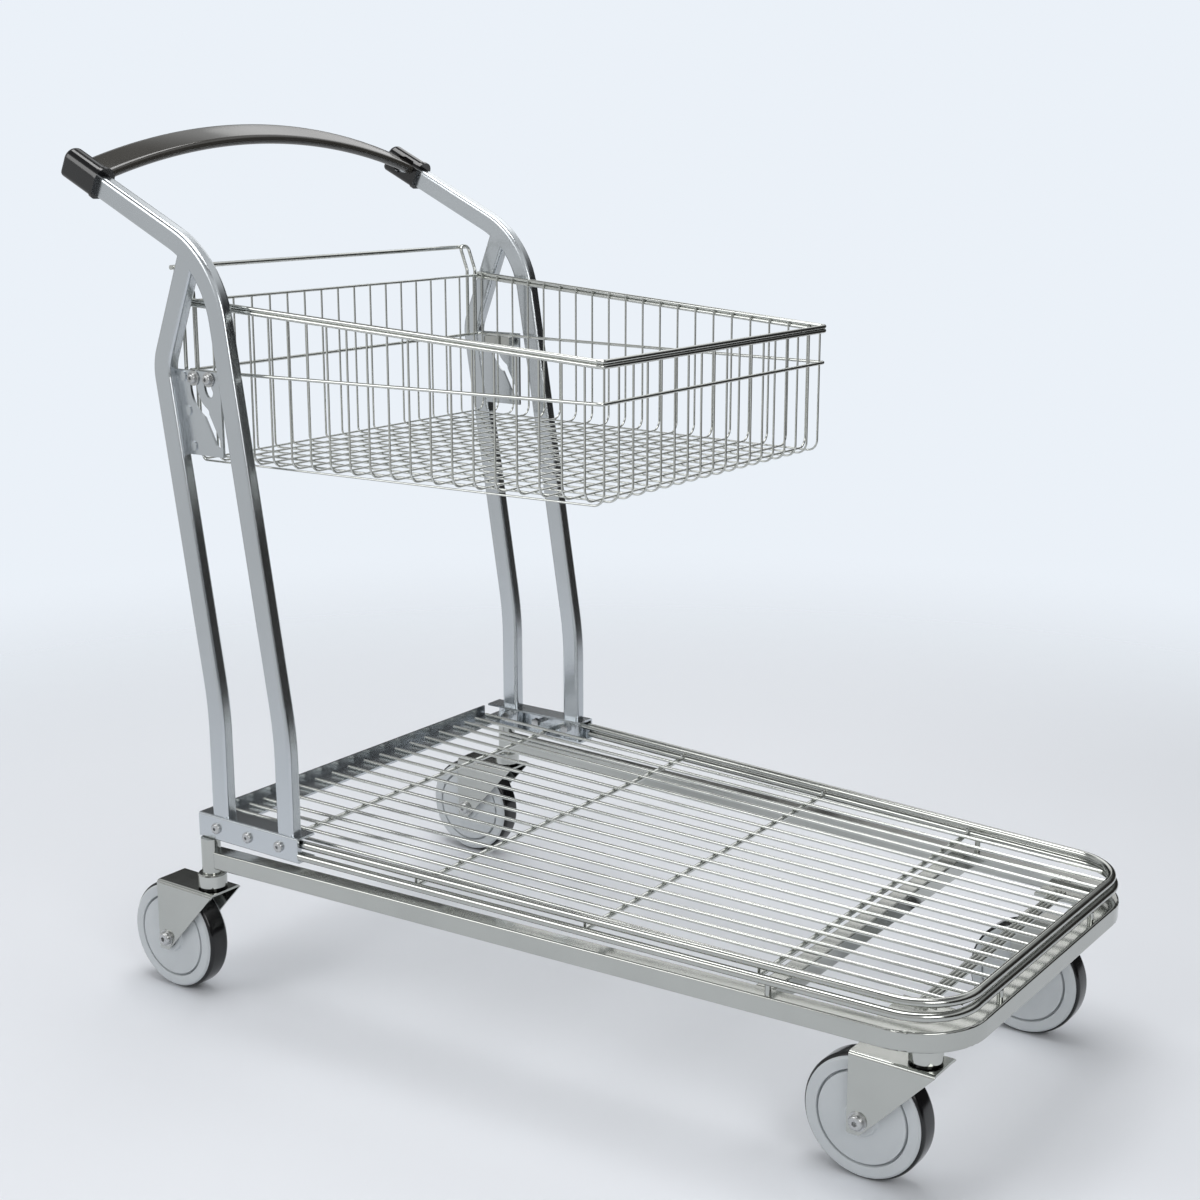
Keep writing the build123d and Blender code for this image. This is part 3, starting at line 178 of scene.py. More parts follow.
@dataclass(frozen=True)
class Finish:
    """One surface finish: its colours, its gloss and how much its surface varies."""

    name: str
    dark: Colour
    light: Colour
    metallic: float
    roughness: tuple[float, float]
    bump: float = 0.02
    bump_depth: float = 0.0001
    fine_scale: float = 900.0
    broad_scale: float = 9.0
    scuff: float = 0.0
    scuff_colour: Colour = (0.5, 0.5, 0.5)
    coat: float = 0.0
    coat_roughness: float = 0.05
    specular: float = 0.5
    band_level: float | None = None
    band_colour: Colour = (0.02, 0.02, 0.02)

    def build(self, groups: dict[str, bpy.types.NodeTree]) -> bpy.types.Material:
        """Make the material.

        Args:
            groups: The shared shader groups by name.

        Returns:
            The material with its node tree.
        """
        material = bpy.data.materials.new(self.name)
        material.use_nodes = True
        material.diffuse_color = (*self.light, 1.0)
        nodes, links = material.node_tree.nodes, material.node_tree.links
        shader = nodes["Principled BSDF"]
        shader.inputs["Metallic"].default_value = self.metallic
        shader.inputs["Specular IOR Level"].default_value = self.specular
        shader.inputs["Coat Weight"].default_value = self.coat
        shader.inputs["Coat Roughness"].default_value = self.coat_roughness
        place = nodes.new("ShaderNodeTexCoord")
        grain = nodes.new("ShaderNodeGroup")
        grain.node_tree = groups["surface_grain"]
        grain.inputs["Fine Scale"].default_value = self.fine_scale
        grain.inputs["Broad Scale"].default_value = self.broad_scale
        links.new(place.outputs["Object"], grain.inputs["Vector"])
        colour = self._mix(material, grain.outputs["Broad"], self.dark, self.light)
        if self.scuff > 0:
            amount = self._scaled(material, grain.outputs["Scuff"], self.scuff)
            colour = self._mix(material, amount, colour, self.scuff_colour)
        rough = nodes.new("ShaderNodeMapRange")
        rough.inputs["From Min"].default_value = BROAD_LOW
        rough.inputs["From Max"].default_value = BROAD_HIGH
        rough.inputs["To Min"].default_value = self.roughness[0]
        rough.inputs["To Max"].default_value = self.roughness[1]
        links.new(grain.outputs["Broad"], rough.inputs["Value"])
        if self.band_level is not None:
            band = nodes.new("ShaderNodeGroup")
            band.node_tree = groups["below_level"]
            band.inputs["Level"].default_value = self.band_level
            links.new(place.outputs["Object"], band.inputs["Vector"])
            colour = self._mix(material, band.outputs["Mask"], colour, self.band_colour)
        links.new(colour, shader.inputs["Base Color"])
        links.new(rough.outputs["Result"], shader.inputs["Roughness"])
        bump = nodes.new("ShaderNodeBump")
        bump.inputs["Strength"].default_value = self.bump
        bump.inputs["Distance"].default_value = self.bump_depth
        links.new(grain.outputs["Fine"], bump.inputs["Height"])
        links.new(bump.outputs["Normal"], shader.inputs["Normal"])
        return material

    @staticmethod
    def _scaled(material: bpy.types.Material, value: bpy.types.NodeSocket, by: float) -> bpy.types.NodeSocket:
        """Multiply a varying value by a number.

        Args:
            material: The material that gets the node.
            value: The output to multiply.
            by: The number.

        Returns:
            The product's output.
        """
        node = material.node_tree.nodes.new("ShaderNodeMath")
        node.operation = "MULTIPLY"
        node.inputs[1].default_value = by
        material.node_tree.links.new(value, node.inputs[0])
        return node.outputs[0]

    @staticmethod
    def _mix(
        material: bpy.types.Material,
        factor: bpy.types.NodeSocket,
        first: Colour | bpy.types.NodeSocket,
        second: Colour,
    ) -> bpy.types.NodeSocket:
        """Blend two colours by a varying factor.

        Args:
            material: The material that gets the node.
            factor: The output that drives the blend.
            first: The colour at 0, as numbers or as an output.
            second: The colour at 1.

        Returns:
            The blended colour's output.
        """
        node = material.node_tree.nodes.new("ShaderNodeMix")
        node.data_type = "RGBA"
        material.node_tree.links.new(factor, node.inputs[0])
        if isinstance(first, tuple):
            node.inputs[6].default_value = (*first, 1.0)
        else:
            material.node_tree.links.new(first, node.inputs[6])
        node.inputs[7].default_value = (*second, 1.0)
        return node.outputs[2]


FINISHES: dict[Slot, Finish] = {
    Slot.FRAME: Finish(
        "frame_zinc_chrome", (0.42, 0.43, 0.41), (0.52, 0.53, 0.505), 1.0, (0.10, 0.19), scuff=0.06, broad_scale=14.0
    ),
    Slot.WIRE: Finish(
        "wire_zinc_chrome", (0.52, 0.535, 0.51), (0.66, 0.67, 0.645), 1.0, (0.08, 0.16), broad_scale=22.0
    ),
    Slot.SILVER: Finish(
        "silver_satin", (0.52, 0.55, 0.575), (0.60, 0.63, 0.655), 1.0, (0.20, 0.25),
        bump=0.003, fine_scale=1600.0, broad_scale=4.0, scuff=0.02,
    ),
    Slot.FASTENER: Finish(
        "fastener_zinc", (0.40, 0.41, 0.42), (0.62, 0.62, 0.61), 1.0, (0.22, 0.36), broad_scale=60.0
    ),
    Slot.BEARING: Finish("bearing_steel", (0.3, 0.3, 0.31), (0.5, 0.5, 0.5), 1.0, (0.25, 0.35), broad_scale=60.0),
    Slot.WHEEL: Finish(
        "wheel_blue_grey", (0.48, 0.505, 0.52), (0.55, 0.575, 0.59), 0.0, (0.34, 0.46),
        bump=0.10, fine_scale=1400.0, broad_scale=20.0, scuff=0.06, scuff_colour=(0.3, 0.33, 0.36),
    ),
    Slot.TYRE: Finish(
        "tyre_black", (0.003, 0.003, 0.0035), (0.007, 0.007, 0.008), 0.0, (0.10, 0.2),
        bump=0.06, fine_scale=1200.0, broad_scale=24.0, scuff=0.04, scuff_colour=(0.05, 0.05, 0.05),
    ),
    Slot.HANDLE: Finish(
        "handle_brown_black", (0.032, 0.030, 0.026), (0.046, 0.043, 0.038), 0.0, (0.10, 0.16),
        bump=0.012, broad_scale=12.0, coat=0.4, coat_roughness=0.12,
    ),
    Slot.CAP: Finish(
        "cap_gloss_black", (0.004, 0.004, 0.0045), (0.008, 0.008, 0.009), 0.0, (0.08, 0.16),
        bump=0.0, broad_scale=16.0, coat=0.3, coat_roughness=0.04,
    ),
}
HEAD_FINISH = Finish(
    "swivel_head_zinc", (0.45, 0.46, 0.44), (0.56, 0.57, 0.545), 1.0, (0.08, 0.16), band_level=0.1325, broad_scale=40.0
)


# ---------------------------------------------------------------- mesh helpers


def mesh_object(name: str, bm: bmesh.types.BMesh, material: bpy.types.Material) -> bpy.types.Object:
    """Turn a bmesh into a linked, smooth-shaded object at the origin.

    Args:
        name: The object's name.
        bm: The geometry, which is freed.
        material: The material of every face.

    Returns:
        The new object.
    """
    bmesh.ops.recalc_face_normals(bm, faces=bm.faces[:])
    mesh = bpy.data.meshes.new(name)
    bm.to_mesh(mesh)
    bm.free()
    mesh.materials.append(material)
    mesh.polygons.foreach_set("use_smooth", [True] * len(mesh.polygons))
    made = bpy.data.objects.new(name, mesh)
    bpy.context.scene.collection.objects.link(made)
    return made


def sharpen(made: bpy.types.Object, degrees: float) -> None:
    """Keep edges sharper than an angle from being smoothed over."""
    made.data.set_sharp_from_angle(angle=math.radians(degrees))


def turned(profile: Sequence[tuple[float, float]], centre: Vector, steps: int) -> bmesh.types.BMesh:
    """Turn a closed outline about the Y axis through a centre.

    Args:
        profile: The outline's (radius, distance along Y) corners in order.
        centre: The middle of the turned piece.
        steps: How many steps make the full turn.

    Returns:
        The closed turned surface.
    """
    bm = bmesh.new()
    rings = []
    for step in range(steps):
        turn = 2 * math.pi * step / steps
        way = Vector((math.cos(turn), 0, math.sin(turn)))
        rings.append([bm.verts.new(centre + way * r + Vector((0, y, 0))) for r, y in profile])
    for step in range(steps):
        here, there = rings[step], rings[(step + 1) % steps]
        for index in range(len(profile)):
            after = (index + 1) % len(profile)
            bm.faces.new((here[index], here[after], there[after], there[index]))
    return bm


def rounded(corners: Sequence[tuple[float, float, float]], steps: int = 4) -> list[tuple[float, float]]:
    """Round the corners of a closed outline.

    Args:
        corners: Each corner with its rounding radius.
        steps: How many segments each rounding has.

    Returns:
        The outline's points in order.
    """
    points: list[tuple[float, float]] = []
    count = len(corners)
    for index, (x, y, radius) in enumerate(corners):
        here = Vector((x, y))
        if radius <= 0:
            points.append((x, y))
            continue
        before = Vector(corners[index - 1][:2]) - here
        after = Vector(corners[(index + 1) % count][:2]) - here
        half = before.angle(after) / 2
        reach = radius / math.tan(half)
        start = here + before.normalized() * reach
        end = here + after.normalized() * reach
        for step in range(steps + 1):
            share = step / steps
            point = start * (1 - share) ** 2 + here * 2 * share * (1 - share) + end * share**2
            points.append((point.x, point.y))
    return points


# ---------------------------------------------------------------- geometry nodes


def geometry_tree(name: str, inputs: dict[str, tuple[str, object]]) -> bpy.types.NodeTree:
    """Make a geometry tree with a geometry input, named inputs and a geometry output.

    Args:
        name: The tree's name.
        inputs: Each named input with its socket type and default.

    Returns:
        The new tree, with its input and output nodes in place.
    """
    tree = bpy.data.node_groups.new(name, "GeometryNodeTree")
    tree.interface.new_socket("Geometry", in_out="INPUT", socket_type="NodeSocketGeometry")
    for label, (kind, value) in inputs.items():
        socket = tree.interface.new_socket(label, in_out="INPUT", socket_type=kind)
        if value is not None:
            socket.default_value = value
    tree.interface.new_socket("Geometry", in_out="OUTPUT", socket_type="NodeSocketGeometry")
    tree.nodes.new("NodeGroupInput").name = "in"
    tree.nodes.new("NodeGroupOutput").name = "out"
    return tree


def grown(
    name: str, tree: bpy.types.NodeTree, seed_mesh: bpy.types.Mesh, values: dict[str, object]
) -> bpy.types.Object:
    """Run a geometry tree on a mesh and keep its result as a plain mesh object.

    Args:
        name: The finished object's name.
        tree: The geometry tree.
        seed_mesh: The mesh that the tree starts from.
        values: The named inputs' values.

    Returns:
        The finished object, with no modifier.
    """
    carrier = bpy.data.objects.new(name, seed_mesh)
    bpy.context.scene.collection.objects.link(carrier)
    modifier = carrier.modifiers.new("grow", "NODES")
    modifier.node_group = tree
    sockets = {item.name: item.identifier for item in tree.interface.items_tree if item.item_type == "SOCKET"}
    for label, value in values.items():
        modifier[sockets[label]] = value
    graph = bpy.context.evaluated_depsgraph_get()
    result = bpy.data.meshes.new_from_object(carrier.evaluated_get(graph), depsgraph=graph)
    carrier.modifiers.remove(modifier)
    carrier.data = result
    result.name = name
    return carrier


def weld_tree() -> bpy.types.NodeTree:
    """Make the tree that sets a flattened weld nugget on every point.

    Returns:
        The tree with inputs Nugget Radius, Flatness, Seed and Material.
    """
    tree = geometry_tree(
        "weld_nuggets",
        {
            "Nugget Radius": ("NodeSocketFloat", 0.0015),
            "Flatness": ("NodeSocketFloat", 0.6),
            "Seed": ("NodeSocketInt", 3),
            "Material": ("NodeSocketMaterial", None),
        },
    )
    nodes, links = tree.nodes, tree.links
    source, sink = nodes["in"], nodes["out"]
    points = nodes.new("GeometryNodeMeshToPoints")
    ball = nodes.new("GeometryNodeMeshUVSphere")
    ball.inputs["Segments"].default_value = 8
    ball.inputs["Rings"].default_value = 5
    scatter = nodes.new("GeometryNodeInstanceOnPoints")
    size = nodes.new("FunctionNodeRandomValue")
    size.data_type = "FLOAT"
    size.inputs[2].default_value = 0.8
    size.inputs[3].default_value = 1.15
    flat = nodes.new("ShaderNodeCombineXYZ")
    squash = nodes.new("ShaderNodeMath")
    squash.operation = "MULTIPLY"
    real = nodes.new("GeometryNodeRealizeInstances")
    smooth = nodes.new("GeometryNodeSetShadeSmooth")
    dress = nodes.new("GeometryNodeSetMaterial")
    links.new(source.outputs["Geometry"], points.inputs["Mesh"])
    links.new(points.outputs["Points"], scatter.inputs["Points"])
    links.new(source.outputs["Nugget Radius"], ball.inputs["Radius"])
    links.new(ball.outputs["Mesh"], scatter.inputs["Instance"])
    links.new(source.outputs["Seed"], size.inputs["Seed"])
    links.new(size.outputs[1], flat.inputs["X"])
    links.new(size.outputs[1], flat.inputs["Y"])
    links.new(size.outputs[1], squash.inputs[0])
    links.new(source.outputs["Flatness"], squash.inputs[1])
    links.new(squash.outputs[0], flat.inputs["Z"])
    links.new(flat.outputs[0], scatter.inputs["Scale"])
    links.new(scatter.outputs["Instances"], real.inputs[0])
    links.new(real.outputs[0], smooth.inputs[0])
    links.new(smooth.outputs[0], dress.inputs["Geometry"])
    links.new(source.outputs["Material"], dress.inputs["Material"])
    links.new(dress.outputs[0], sink.inputs["Geometry"])
    return tree


def sweep_tree() -> bpy.types.NodeTree:
    """Make the tree that sweeps a rounded rectangle along the input edges.

    Returns:
        The tree with inputs Width, Height, Corner, Tilt, Seed and Material.
    """
    tree = geometry_tree(
        "swept_bar",
        {
            "Width": ("NodeSocketFloat", 0.031),
            "Height": ("NodeSocketFloat", 0.020),
            "Corner": ("NodeSocketFloat", 0.009),
            "Tilt": ("NodeSocketFloat", 0.0),
            "Seed": ("NodeSocketInt", 1),
            "Material": ("NodeSocketMaterial", None),
        },
    )
    nodes, links = tree.nodes, tree.links
    source, sink = nodes["in"], nodes["out"]
    path = nodes.new("GeometryNodeMeshToCurve")
    level = nodes.new("GeometryNodeSetCurveNormal")
    level.mode = "Z_UP"
    lean = nodes.new("GeometryNodeSetCurveTilt")
    profile = nodes.new("GeometryNodeCurvePrimitiveQuadrilateral")
    corner = nodes.new("GeometryNodeFilletCurve")
    corner.mode = "POLY"
    corner.inputs["Count"].default_value = 12
    sweep = nodes.new("GeometryNodeCurveToMesh")
    sweep.inputs["Fill Caps"].default_value = True
    real = nodes.new("GeometryNodeRealizeInstances")
    dress = nodes.new("GeometryNodeSetMaterial")
    links.new(source.outputs["Geometry"], path.inputs["Mesh"])
    links.new(path.outputs["Curve"], level.inputs["Curve"])
    links.new(source.outputs["Width"], profile.inputs["Width"])
    links.new(source.outputs["Height"], profile.inputs["Height"])
    links.new(profile.outputs["Curve"], corner.inputs["Curve"])
    links.new(source.outputs["Corner"], corner.inputs["Radius"])
    links.new(level.outputs[0], lean.inputs["Curve"])
    links.new(source.outputs["Tilt"], lean.inputs["Tilt"])
    links.new(lean.outputs[0], sweep.inputs["Curve"])
    links.new(corner.outputs[0], sweep.inputs["Profile Curve"])
    links.new(sweep.outputs[0], real.inputs[0])
    links.new(real.outputs[0], dress.inputs["Geometry"])
    links.new(source.outputs["Material"], dress.inputs["Material"])
    links.new(dress.outputs[0], sink.inputs["Geometry"])
    return tree


# ---------------------------------------------------------------- sub-assemblies


def box_of(node: str) -> tuple[Vector, Vector]:
    """Give a CAD node's lowest and highest corners as vectors."""
    low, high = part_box(node)
    return Vector(low), Vector(high)


@dataclass
class CasterWheel:
    """One caster's wheel: a turned tyre and a moulded centre with a ring groove."""

    corner: str
    shoulder: float = 5.0 * MM
    disc_radius: float = 59.5 * MM
    groove_radius: float = 46.4 * MM
    groove_half: float = 1.3 * MM
    groove_depth: float = 6.0 * MM
    hub_radius: float = 16.0 * MM
    bore_radius: float = 11.0 * MM
    seat_radius: float = 56.0 * MM
    face_recess: float = 3.0 * MM
    hub_flare: float = 1.5 * MM
    rim_step: float = 2.0 * MM
    rim_chamfer: float = 1.8 * MM
    steps: int = 96

    def build(self, materials: dict[Slot, bpy.types.Material]) -> list[bpy.types.Object]:
        """Make and place the tyre and the centre.

        Args:
            materials: The built materials by slot.

        Returns:
            The two finished pieces.
        """
        tyre = self._tyre(materials[Slot.TYRE])
        core = self._core(materials[Slot.WHEEL])
        for piece, node, slot in ((tyre, "tyre", Slot.TYRE), (core, "wheel_core", Slot.WHEEL)):
            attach(piece, f"wheel_{self.corner}")
            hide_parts(f"{node}_{self.corner}")
        return [tyre, core]

    def _tyre(self, material: bpy.types.Material) -> bpy.types.Object:
        """Turn the rubber tyre with rounded shoulders."""
        low, high = box_of(f"tyre_{self.corner}")
        centre = (low + high) / 2
        half = (high.y - low.y) / 2
        outer = (high.z - low.z) / 2
        outline = rounded(
            [
                (self.seat_radius, -half, 0),
                (outer, -half, self.shoulder),
                (outer, half, self.shoulder),
                (self.seat_radius, half, 0),
            ],
            steps=7,
        )
        made = mesh_object(f"rubber_tyre_{self.corner}", turned(outline, centre, self.steps), material)
        sharpen(made, 40)
        return made

    def _core(self, material: bpy.types.Material) -> bpy.types.Object:
        """Turn the moulded centre with its ring groove, chamfered rim and hub boss."""
        low, high = box_of(f"wheel_core_{self.corner}")
        centre = (low + high) / 2
        hub = (high.y - low.y) / 2
        tyre_low, tyre_high = box_of(f"tyre_{self.corner}")
        seat = (tyre_high.y - tyre_low.y) / 2
        face = hub - self.face_recess
        groove_floor = face - self.groove_depth
        side = [
            (self.bore_radius, hub, 0),
            (self.hub_radius, hub, 1.0 * MM),
            (self.hub_radius + self.hub_flare, face, 1.0 * MM),
            (self.groove_radius - self.groove_half, face, 0.5 * MM),
            (self.groove_radius - self.groove_half / 2, groove_floor, 0.4 * MM),
            (self.groove_radius + self.groove_half / 2, groove_floor, 0.4 * MM),
            (self.groove_radius + self.groove_half, face, 0.5 * MM),
            (self.disc_radius - self.rim_step, face, 0.8 * MM),
            (self.disc_radius, face - self.rim_chamfer, 0.5 * MM),
            (self.disc_radius, seat, 0),
            (self.seat_radius, seat, 0),
        ]
        mirrored = [(r, -y, radius) for r, y, radius in reversed(side)]
        outline = rounded(side + mirrored, steps=3)
        made = mesh_object(f"moulded_wheel_{self.corner}", turned(outline, centre, self.steps), material)
        sharpen(made, 35)
        return made


@dataclass
class PushHandle:
    """The arched flat-oval push bar, which leans with the slope of the grips."""

    path_steps: int = 96
    width: float = 36.0 * MM
    height: float = 11.5 * MM
    corner: float = 5.6 * MM
    slope: float = math.radians(25.47)
    cad_half_height: float = 10.0 * MM
    end_sink: float = 0.2 * MM

    def build(self, materials: dict[Slot, bpy.types.Material], sweep: bpy.types.NodeTree) -> list[bpy.types.Object]:
        """Make the bar that replaces the plain CAD bar.

        Args:
            materials: The built materials by slot.
            sweep: The geometry tree that sweeps the oval.

        Returns:
            The finished bar in a list.
        """
        low, high = box_of("handle_bar")
        reach = high.y
        middle_x = (high.x + low.x) / 2
        crown = high.z - self.cad_half_height
        drop = crown - (low.z + self.cad_half_height + self.end_sink)
        radius = (reach**2 + drop**2) / (2 * drop)
        half_turn = math.asin(reach / radius)
        points = []
        for step in range(self.path_steps + 1):
            angle = half_turn * (2 * step / self.path_steps - 1)
            points.append((middle_x, radius * math.sin(angle), crown - radius * (1 - math.cos(angle))))
        seed = bpy.data.meshes.new("push_bar_path")
        seed.from_pydata(points, [(i, i + 1) for i in range(self.path_steps)], [])
        bar = grown(
            "push_bar",
            sweep,
            seed,
            {
                "Width": self.width,
                "Height": self.height,
                "Corner": self.corner,
                "Tilt": self.slope,
                "Seed": 1,
                "Material": materials[Slot.HANDLE],
            },
        )
        bar.data.polygons.foreach_set("use_smooth", [True] * len(bar.data.polygons))
        sharpen(bar, 50)
        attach(bar, "root")
        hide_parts("handle_bar")
        return [bar]


@dataclass
class BasketWelds:
    """Spot-weld nuggets where the basket's wires cross its ring."""

    cross_wires: int = 20
    wire_radius: float = 1.1 * MM
    taper: float = math.tan(math.radians(3.742))
    nugget: float = 1.5 * MM
    flatness: float = 0.9

    def build(self, materials: dict[Slot, bpy.types.Material], tree: bpy.types.NodeTree) -> list[bpy.types.Object]:
        """Set a nugget at each crossing of a wire and the ring.

        Args:
            materials: The built materials by slot.
            tree: The geometry tree that makes the nuggets.

        Returns:
            The finished nuggets in a list.
        """
        ring_low, ring_high = box_of("basket_ring")
        wire_low, wire_high = box_of("basket_cross_wires")
        middle = (ring_low.z + ring_high.z) / 2
        first, last = wire_low.x + self.wire_radius, wire_high.x - self.wire_radius
        back_y = wire_high.y - self.wire_radius
        rows: list[Point] = []
        for index in range(self.cross_wires):
            x = first + (last - first) * index / (self.cross_wires - 1)
            y = back_y - (x - first) * self.taper + self.wire_radius
            rows.extend(((x, y, middle), (x, -y, middle)))
        seed = bpy.data.meshes.new("weld_points")
        seed.from_pydata(rows, [], [])
        welds = grown(
            "basket_welds",
            tree,
            seed,
            {"Nugget Radius": self.nugget, "Flatness": self.flatness, "Seed": 5, "Material": materials[Slot.WIRE]},
        )
        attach(welds, "basket")
        return [welds]


# ---------------------------------------------------------------- studio


@dataclass
class Studio:
    """The pale floor, the soft lights, the surroundings that chrome mirrors, and the camera."""

    backdrop: Colour = (0.83, 0.88, 0.94)
    floor_colour: Colour = (0.78, 0.80, 0.84)
    floor_radius: float = 6.0
    dark_side: Point = (0.5, 0.866, 0.0)
    dark_side_from: float = -0.45
    dark_side_to: float = -0.15
    dark_stops: Stops = (
        (0.0, 1.1),
        (0.455, 1.05),
        (0.48, 0.03),
        (0.67, 0.05),
        (0.725, 0.3),
        (0.79, 1.2),
        (0.85, 1.3),
        (0.9, 0.3),
        (1.0, 0.25),
    )
    light_stops: Stops = ((0.0, 1.1), (0.455, 1.05), (0.5, 1.0), (0.62, 1.0), (0.8, 1.2), (0.88, 0.3), (1.0, 0.25))
    room_tint: Colour = (0.98, 1.0, 1.01)
    room_strength: float = 0.62
    fade_from: float = 0.8
    fade_to: float = 2.4
    flag_colour: Colour = (0.022, 0.019, 0.016)
    flag_radius: float = 1.75
    flag_from: float = -18.0
    flag_to: float = 76.0
    flag_height: float = 0.7
    flag_steps: int = 24
    camera_at: Point = (1.1547, -1.6380, 0.9382)
    camera_turn: float = 35.41
    camera_dip: float = 13.58
    lens: float = 57.35
    sensor: float = 36.0

    def build(self) -> None:
        """Make the whole studio."""
        bpy.context.scene.view_settings.view_transform = "Standard"
        self._world()
        self._floor()
        self._flags()
        self._lights()
        self._camera()

    def _world(self) -> None:
        """Make surroundings that look pale to the camera, and that chrome mirrors as bands, darker on one side."""
        world = bpy.data.worlds.new("studio")
        bpy.context.scene.world = world
        world.use_nodes = True
        nodes, links = world.node_tree.nodes, world.node_tree.links
        seen = nodes["Background"]
        seen.inputs["Color"].default_value = (*self.backdrop, 1.0)
        seen.inputs["Strength"].default_value = 1.0
        room = nodes.new("ShaderNodeBackground")
        ways = nodes.new("ShaderNodeTexCoord")
        split = nodes.new("ShaderNodeSeparateXYZ")
        lift = nodes.new("ShaderNodeMapRange")
        lift.inputs["From Min"].default_value = -1.0
        lift.inputs["From Max"].default_value = 1.0
        side = nodes.new("ShaderNodeVectorMath")
        side.operation = "DOT_PRODUCT"
        side.inputs[1].default_value = self.dark_side
        turn = nodes.new("ShaderNodeMapRange")
        turn.inputs["From Min"].default_value = self.dark_side_from
        turn.inputs["From Max"].default_value = self.dark_side_to
        links.new(ways.outputs["Generated"], side.inputs[0])
        links.new(side.outputs["Value"], turn.inputs["Value"])
        both = nodes.new("ShaderNodeMix")
        both.data_type = "RGBA"
        links.new(turn.outputs["Result"], both.inputs[0])
        for stops, socket in ((self.light_stops, 6), (self.dark_stops, 7)):
            ramp = nodes.new("ShaderNodeValToRGB")
            band = ramp.color_ramp
            while len(band.elements) < len(stops):
                band.elements.new(0.5)
            for element, (place, grey) in zip(band.elements, stops):
                element.position = place
                element.color = (*(grey * share for share in self.room_tint), 1.0)
            links.new(lift.outputs["Result"], ramp.inputs["Fac"])
            links.new(ramp.outputs["Color"], both.inputs[socket])
        room.inputs["Strength"].default_value = self.room_strength
        path = nodes.new("ShaderNodeLightPath")
        choose = nodes.new("ShaderNodeMixShader")
        links.new(ways.outputs["Generated"], split.inputs[0])
        links.new(split.outputs["Z"], lift.inputs["Value"])
        links.new(both.outputs[2], room.inputs["Color"])
        links.new(path.outputs["Is Camera Ray"], choose.inputs["Fac"])
        links.new(room.outputs[0], choose.inputs[1])
        links.new(seen.outputs[0], choose.inputs[2])
        links.new(choose.outputs[0], nodes["World Output"].inputs["Surface"])

    def _floor(self) -> None:
        """Make a round floor that fades into the backdrop far from the trolley."""
        bm = bmesh.new()
        bmesh.ops.create_circle(bm, cap_ends=True, radius=self.floor_radius, segments=96)
        material = bpy.data.materials.new("floor_pale")
        material.use_nodes = True
        nodes, links = material.node_tree.nodes, material.node_tree.links
        shader = nodes["Principled BSDF"]
        shader.inputs["Base Color"].default_value = (*self.floor_colour, 1.0)
        shader.inputs["Roughness"].default_value = 0.75
        shader.inputs["Specular IOR Level"].default_value = 0.2
        place = nodes.new("ShaderNodeTexCoord")
        reach = nodes.new("ShaderNodeVectorMath")
        reach.operation = "LENGTH"
        fade = nodes.new("ShaderNodeMapRange")
        fade.interpolation_type = "SMOOTHSTEP"
        fade.inputs["From Min"].default_value = self.fade_from
        fade.inputs["From Max"].default_value = self.fade_to
        fade.inputs["To Min"].default_value = 1.0
        fade.inputs["To Max"].default_value = 0.0
        links.new(place.outputs["Object"], reach.inputs[0])
        links.new(reach.outputs["Value"], fade.inputs["Value"])
        links.new(fade.outputs["Result"], shader.inputs["Alpha"])
        floor = mesh_object("studio_floor", bm, material)
        for polygon in floor.data.polygons:
            polygon.use_smooth = False

    def _flags(self) -> None:
        """Stand dark curved cards outside the view, on the side that bright tubes would mirror as a dark line."""
        material = bpy.data.materials.new("flag_dark")
        material.use_nodes = True
        shader = material.node_tree.nodes["Principled BSDF"]
        shader.inputs["Base Color"].default_value = (*self.flag_colour, 1.0)
        shader.inputs["Roughness"].default_value = 0.9
        bm = bmesh.new()
        low, high = [], []
        for step in range(self.flag_steps + 1):
            turn = math.radians(self.flag_from + (self.flag_to - self.flag_from) * step / self.flag_steps)
            x, y = self.flag_radius * math.cos(turn), self.flag_radius * math.sin(turn)
            low.append(bm.verts.new((x, y, 0.0)))
            high.append(bm.verts.new((x, y, self.flag_height)))
        for step in range(self.flag_steps):
            bm.faces.new((low[step], low[step + 1], high[step + 1], high[step]))
        mesh_object("studio_flag", bm, material)

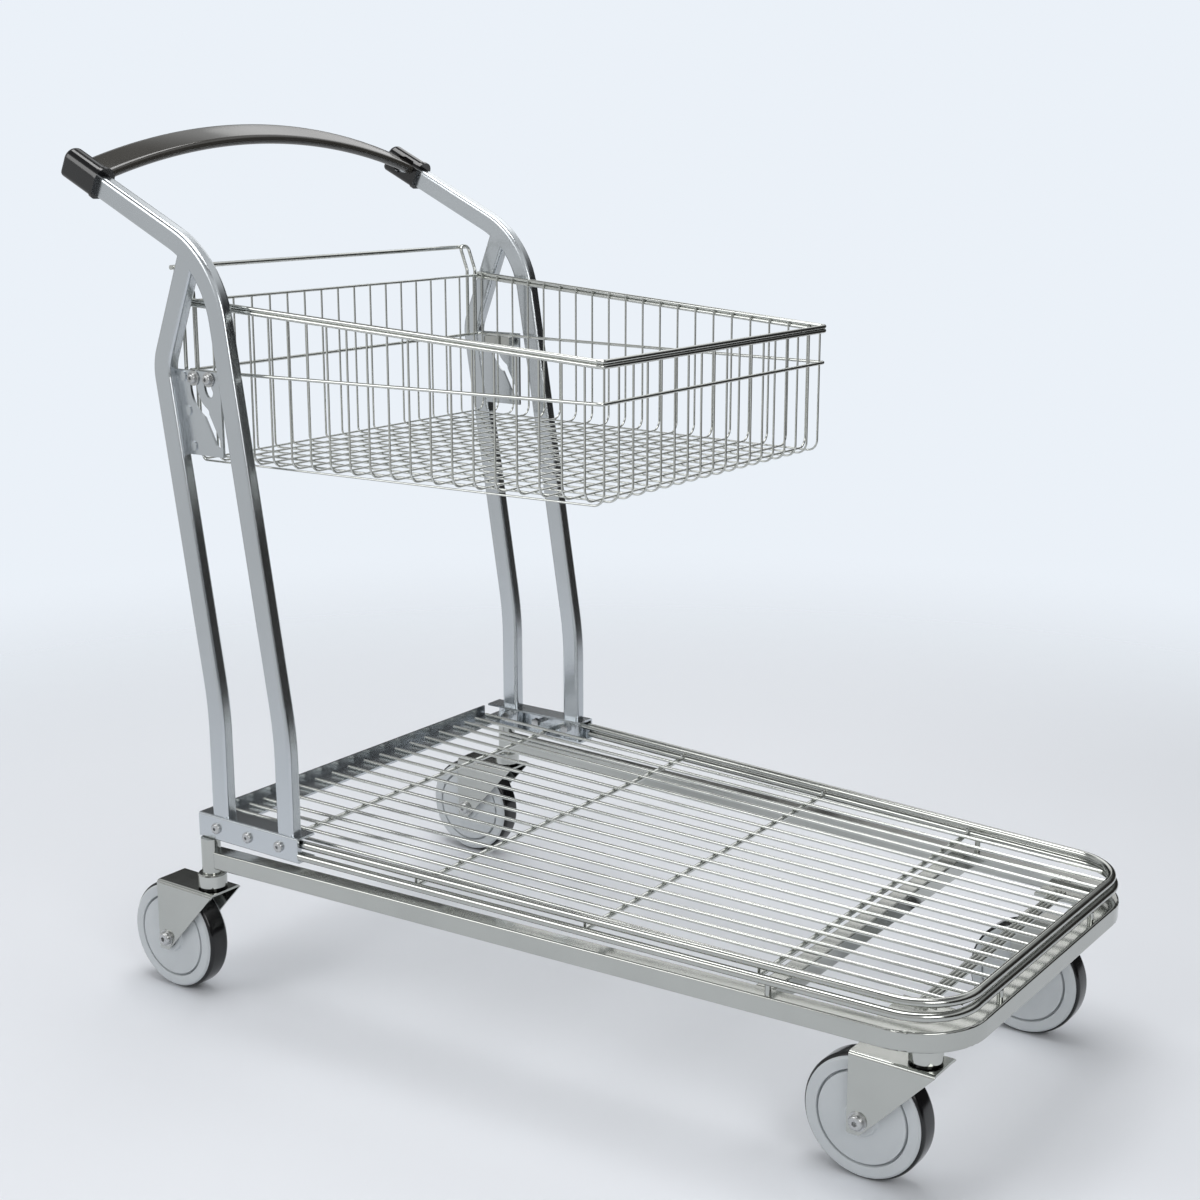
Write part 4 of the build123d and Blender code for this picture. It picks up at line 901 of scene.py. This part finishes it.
    def _lights(self) -> None:
        """Hang large soft lights above, in front and to the side."""
        for name, place, size, power in (
            ("top", (-0.2, 0.1, 3.2), 2.0, 56.0),
            ("front_left", (-1.6, -2.6, 2.0), 1.6, 20.0),
            ("front_right", (2.6, -1.6, 1.7), 1.4, 22.0),
            ("back", (-1.2, 2.6, 2.2), 1.8, 10.0),
        ):
            light = bpy.data.lights.new(f"light_{name}", "AREA")
            light.shape = "SQUARE"
            light.size = size
            light.energy = power
            lamp = bpy.data.objects.new(f"light_{name}", light)
            lamp.location = place
            lamp.rotation_euler = (Vector((0, 0, 0.45)) - Vector(place)).to_track_quat("-Z", "Y").to_euler()
            bpy.context.scene.collection.objects.link(lamp)

    def _camera(self) -> None:
        """Set the camera at a standing person's front corner view."""
        data = bpy.data.cameras.new("view")
        data.lens = self.lens
        data.sensor_width = self.sensor
        data.clip_end = 50.0
        camera = bpy.data.objects.new("view", data)
        camera.location = self.camera_at
        camera.rotation_euler = (math.radians(90 - self.camera_dip), 0, math.radians(self.camera_turn))
        bpy.context.scene.collection.objects.link(camera)
        bpy.context.scene.camera = camera


# ---------------------------------------------------------------- build


def dress_frame(frame: dict, materials: dict[Slot, bpy.types.Material], head: bpy.types.Material) -> None:
    """Give every CAD node the finish of its material slot.

    Args:
        frame: The loaded frame.
        materials: The built materials by slot.
        head: The material of the swivel heads.
    """
    slots = {entry["node"]: Slot(entry["material_slot"]) for entry in frame["record"]["subparts"]}
    for name, made in frame["nodes"].items():
        wanted = head if name.startswith("swivel_head") else materials[slots[name]]
        if not made.material_slots:
            made.data.materials.append(wanted)
        for place in made.material_slots:
            place.material = wanted


def log_pieces(pieces: Iterable[bpy.types.Object]) -> None:
    """Report each finished piece with its face count."""
    for piece in pieces:
        LOG.info("%s: %d faces", piece.name, len(piece.data.polygons))


def main() -> None:
    """Load the frame, dress it, build the detailed pieces and set up the studio."""
    logging.basicConfig(level=logging.INFO, format="%(name)s %(message)s")
    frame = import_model()
    groups = {"surface_grain": surface_grain_group(), "below_level": band_group()}
    materials = {slot: finish.build(groups) for slot, finish in FINISHES.items()}
    dress_frame(frame, materials, HEAD_FINISH.build(groups))
    Studio().build()
    for corner in CORNERS:
        log_pieces(CasterWheel(corner).build(materials))
    log_pieces(PushHandle().build(materials, sweep_tree()))
    log_pieces(BasketWelds().build(materials, weld_tree()))


if __name__ == "__main__":
    main()
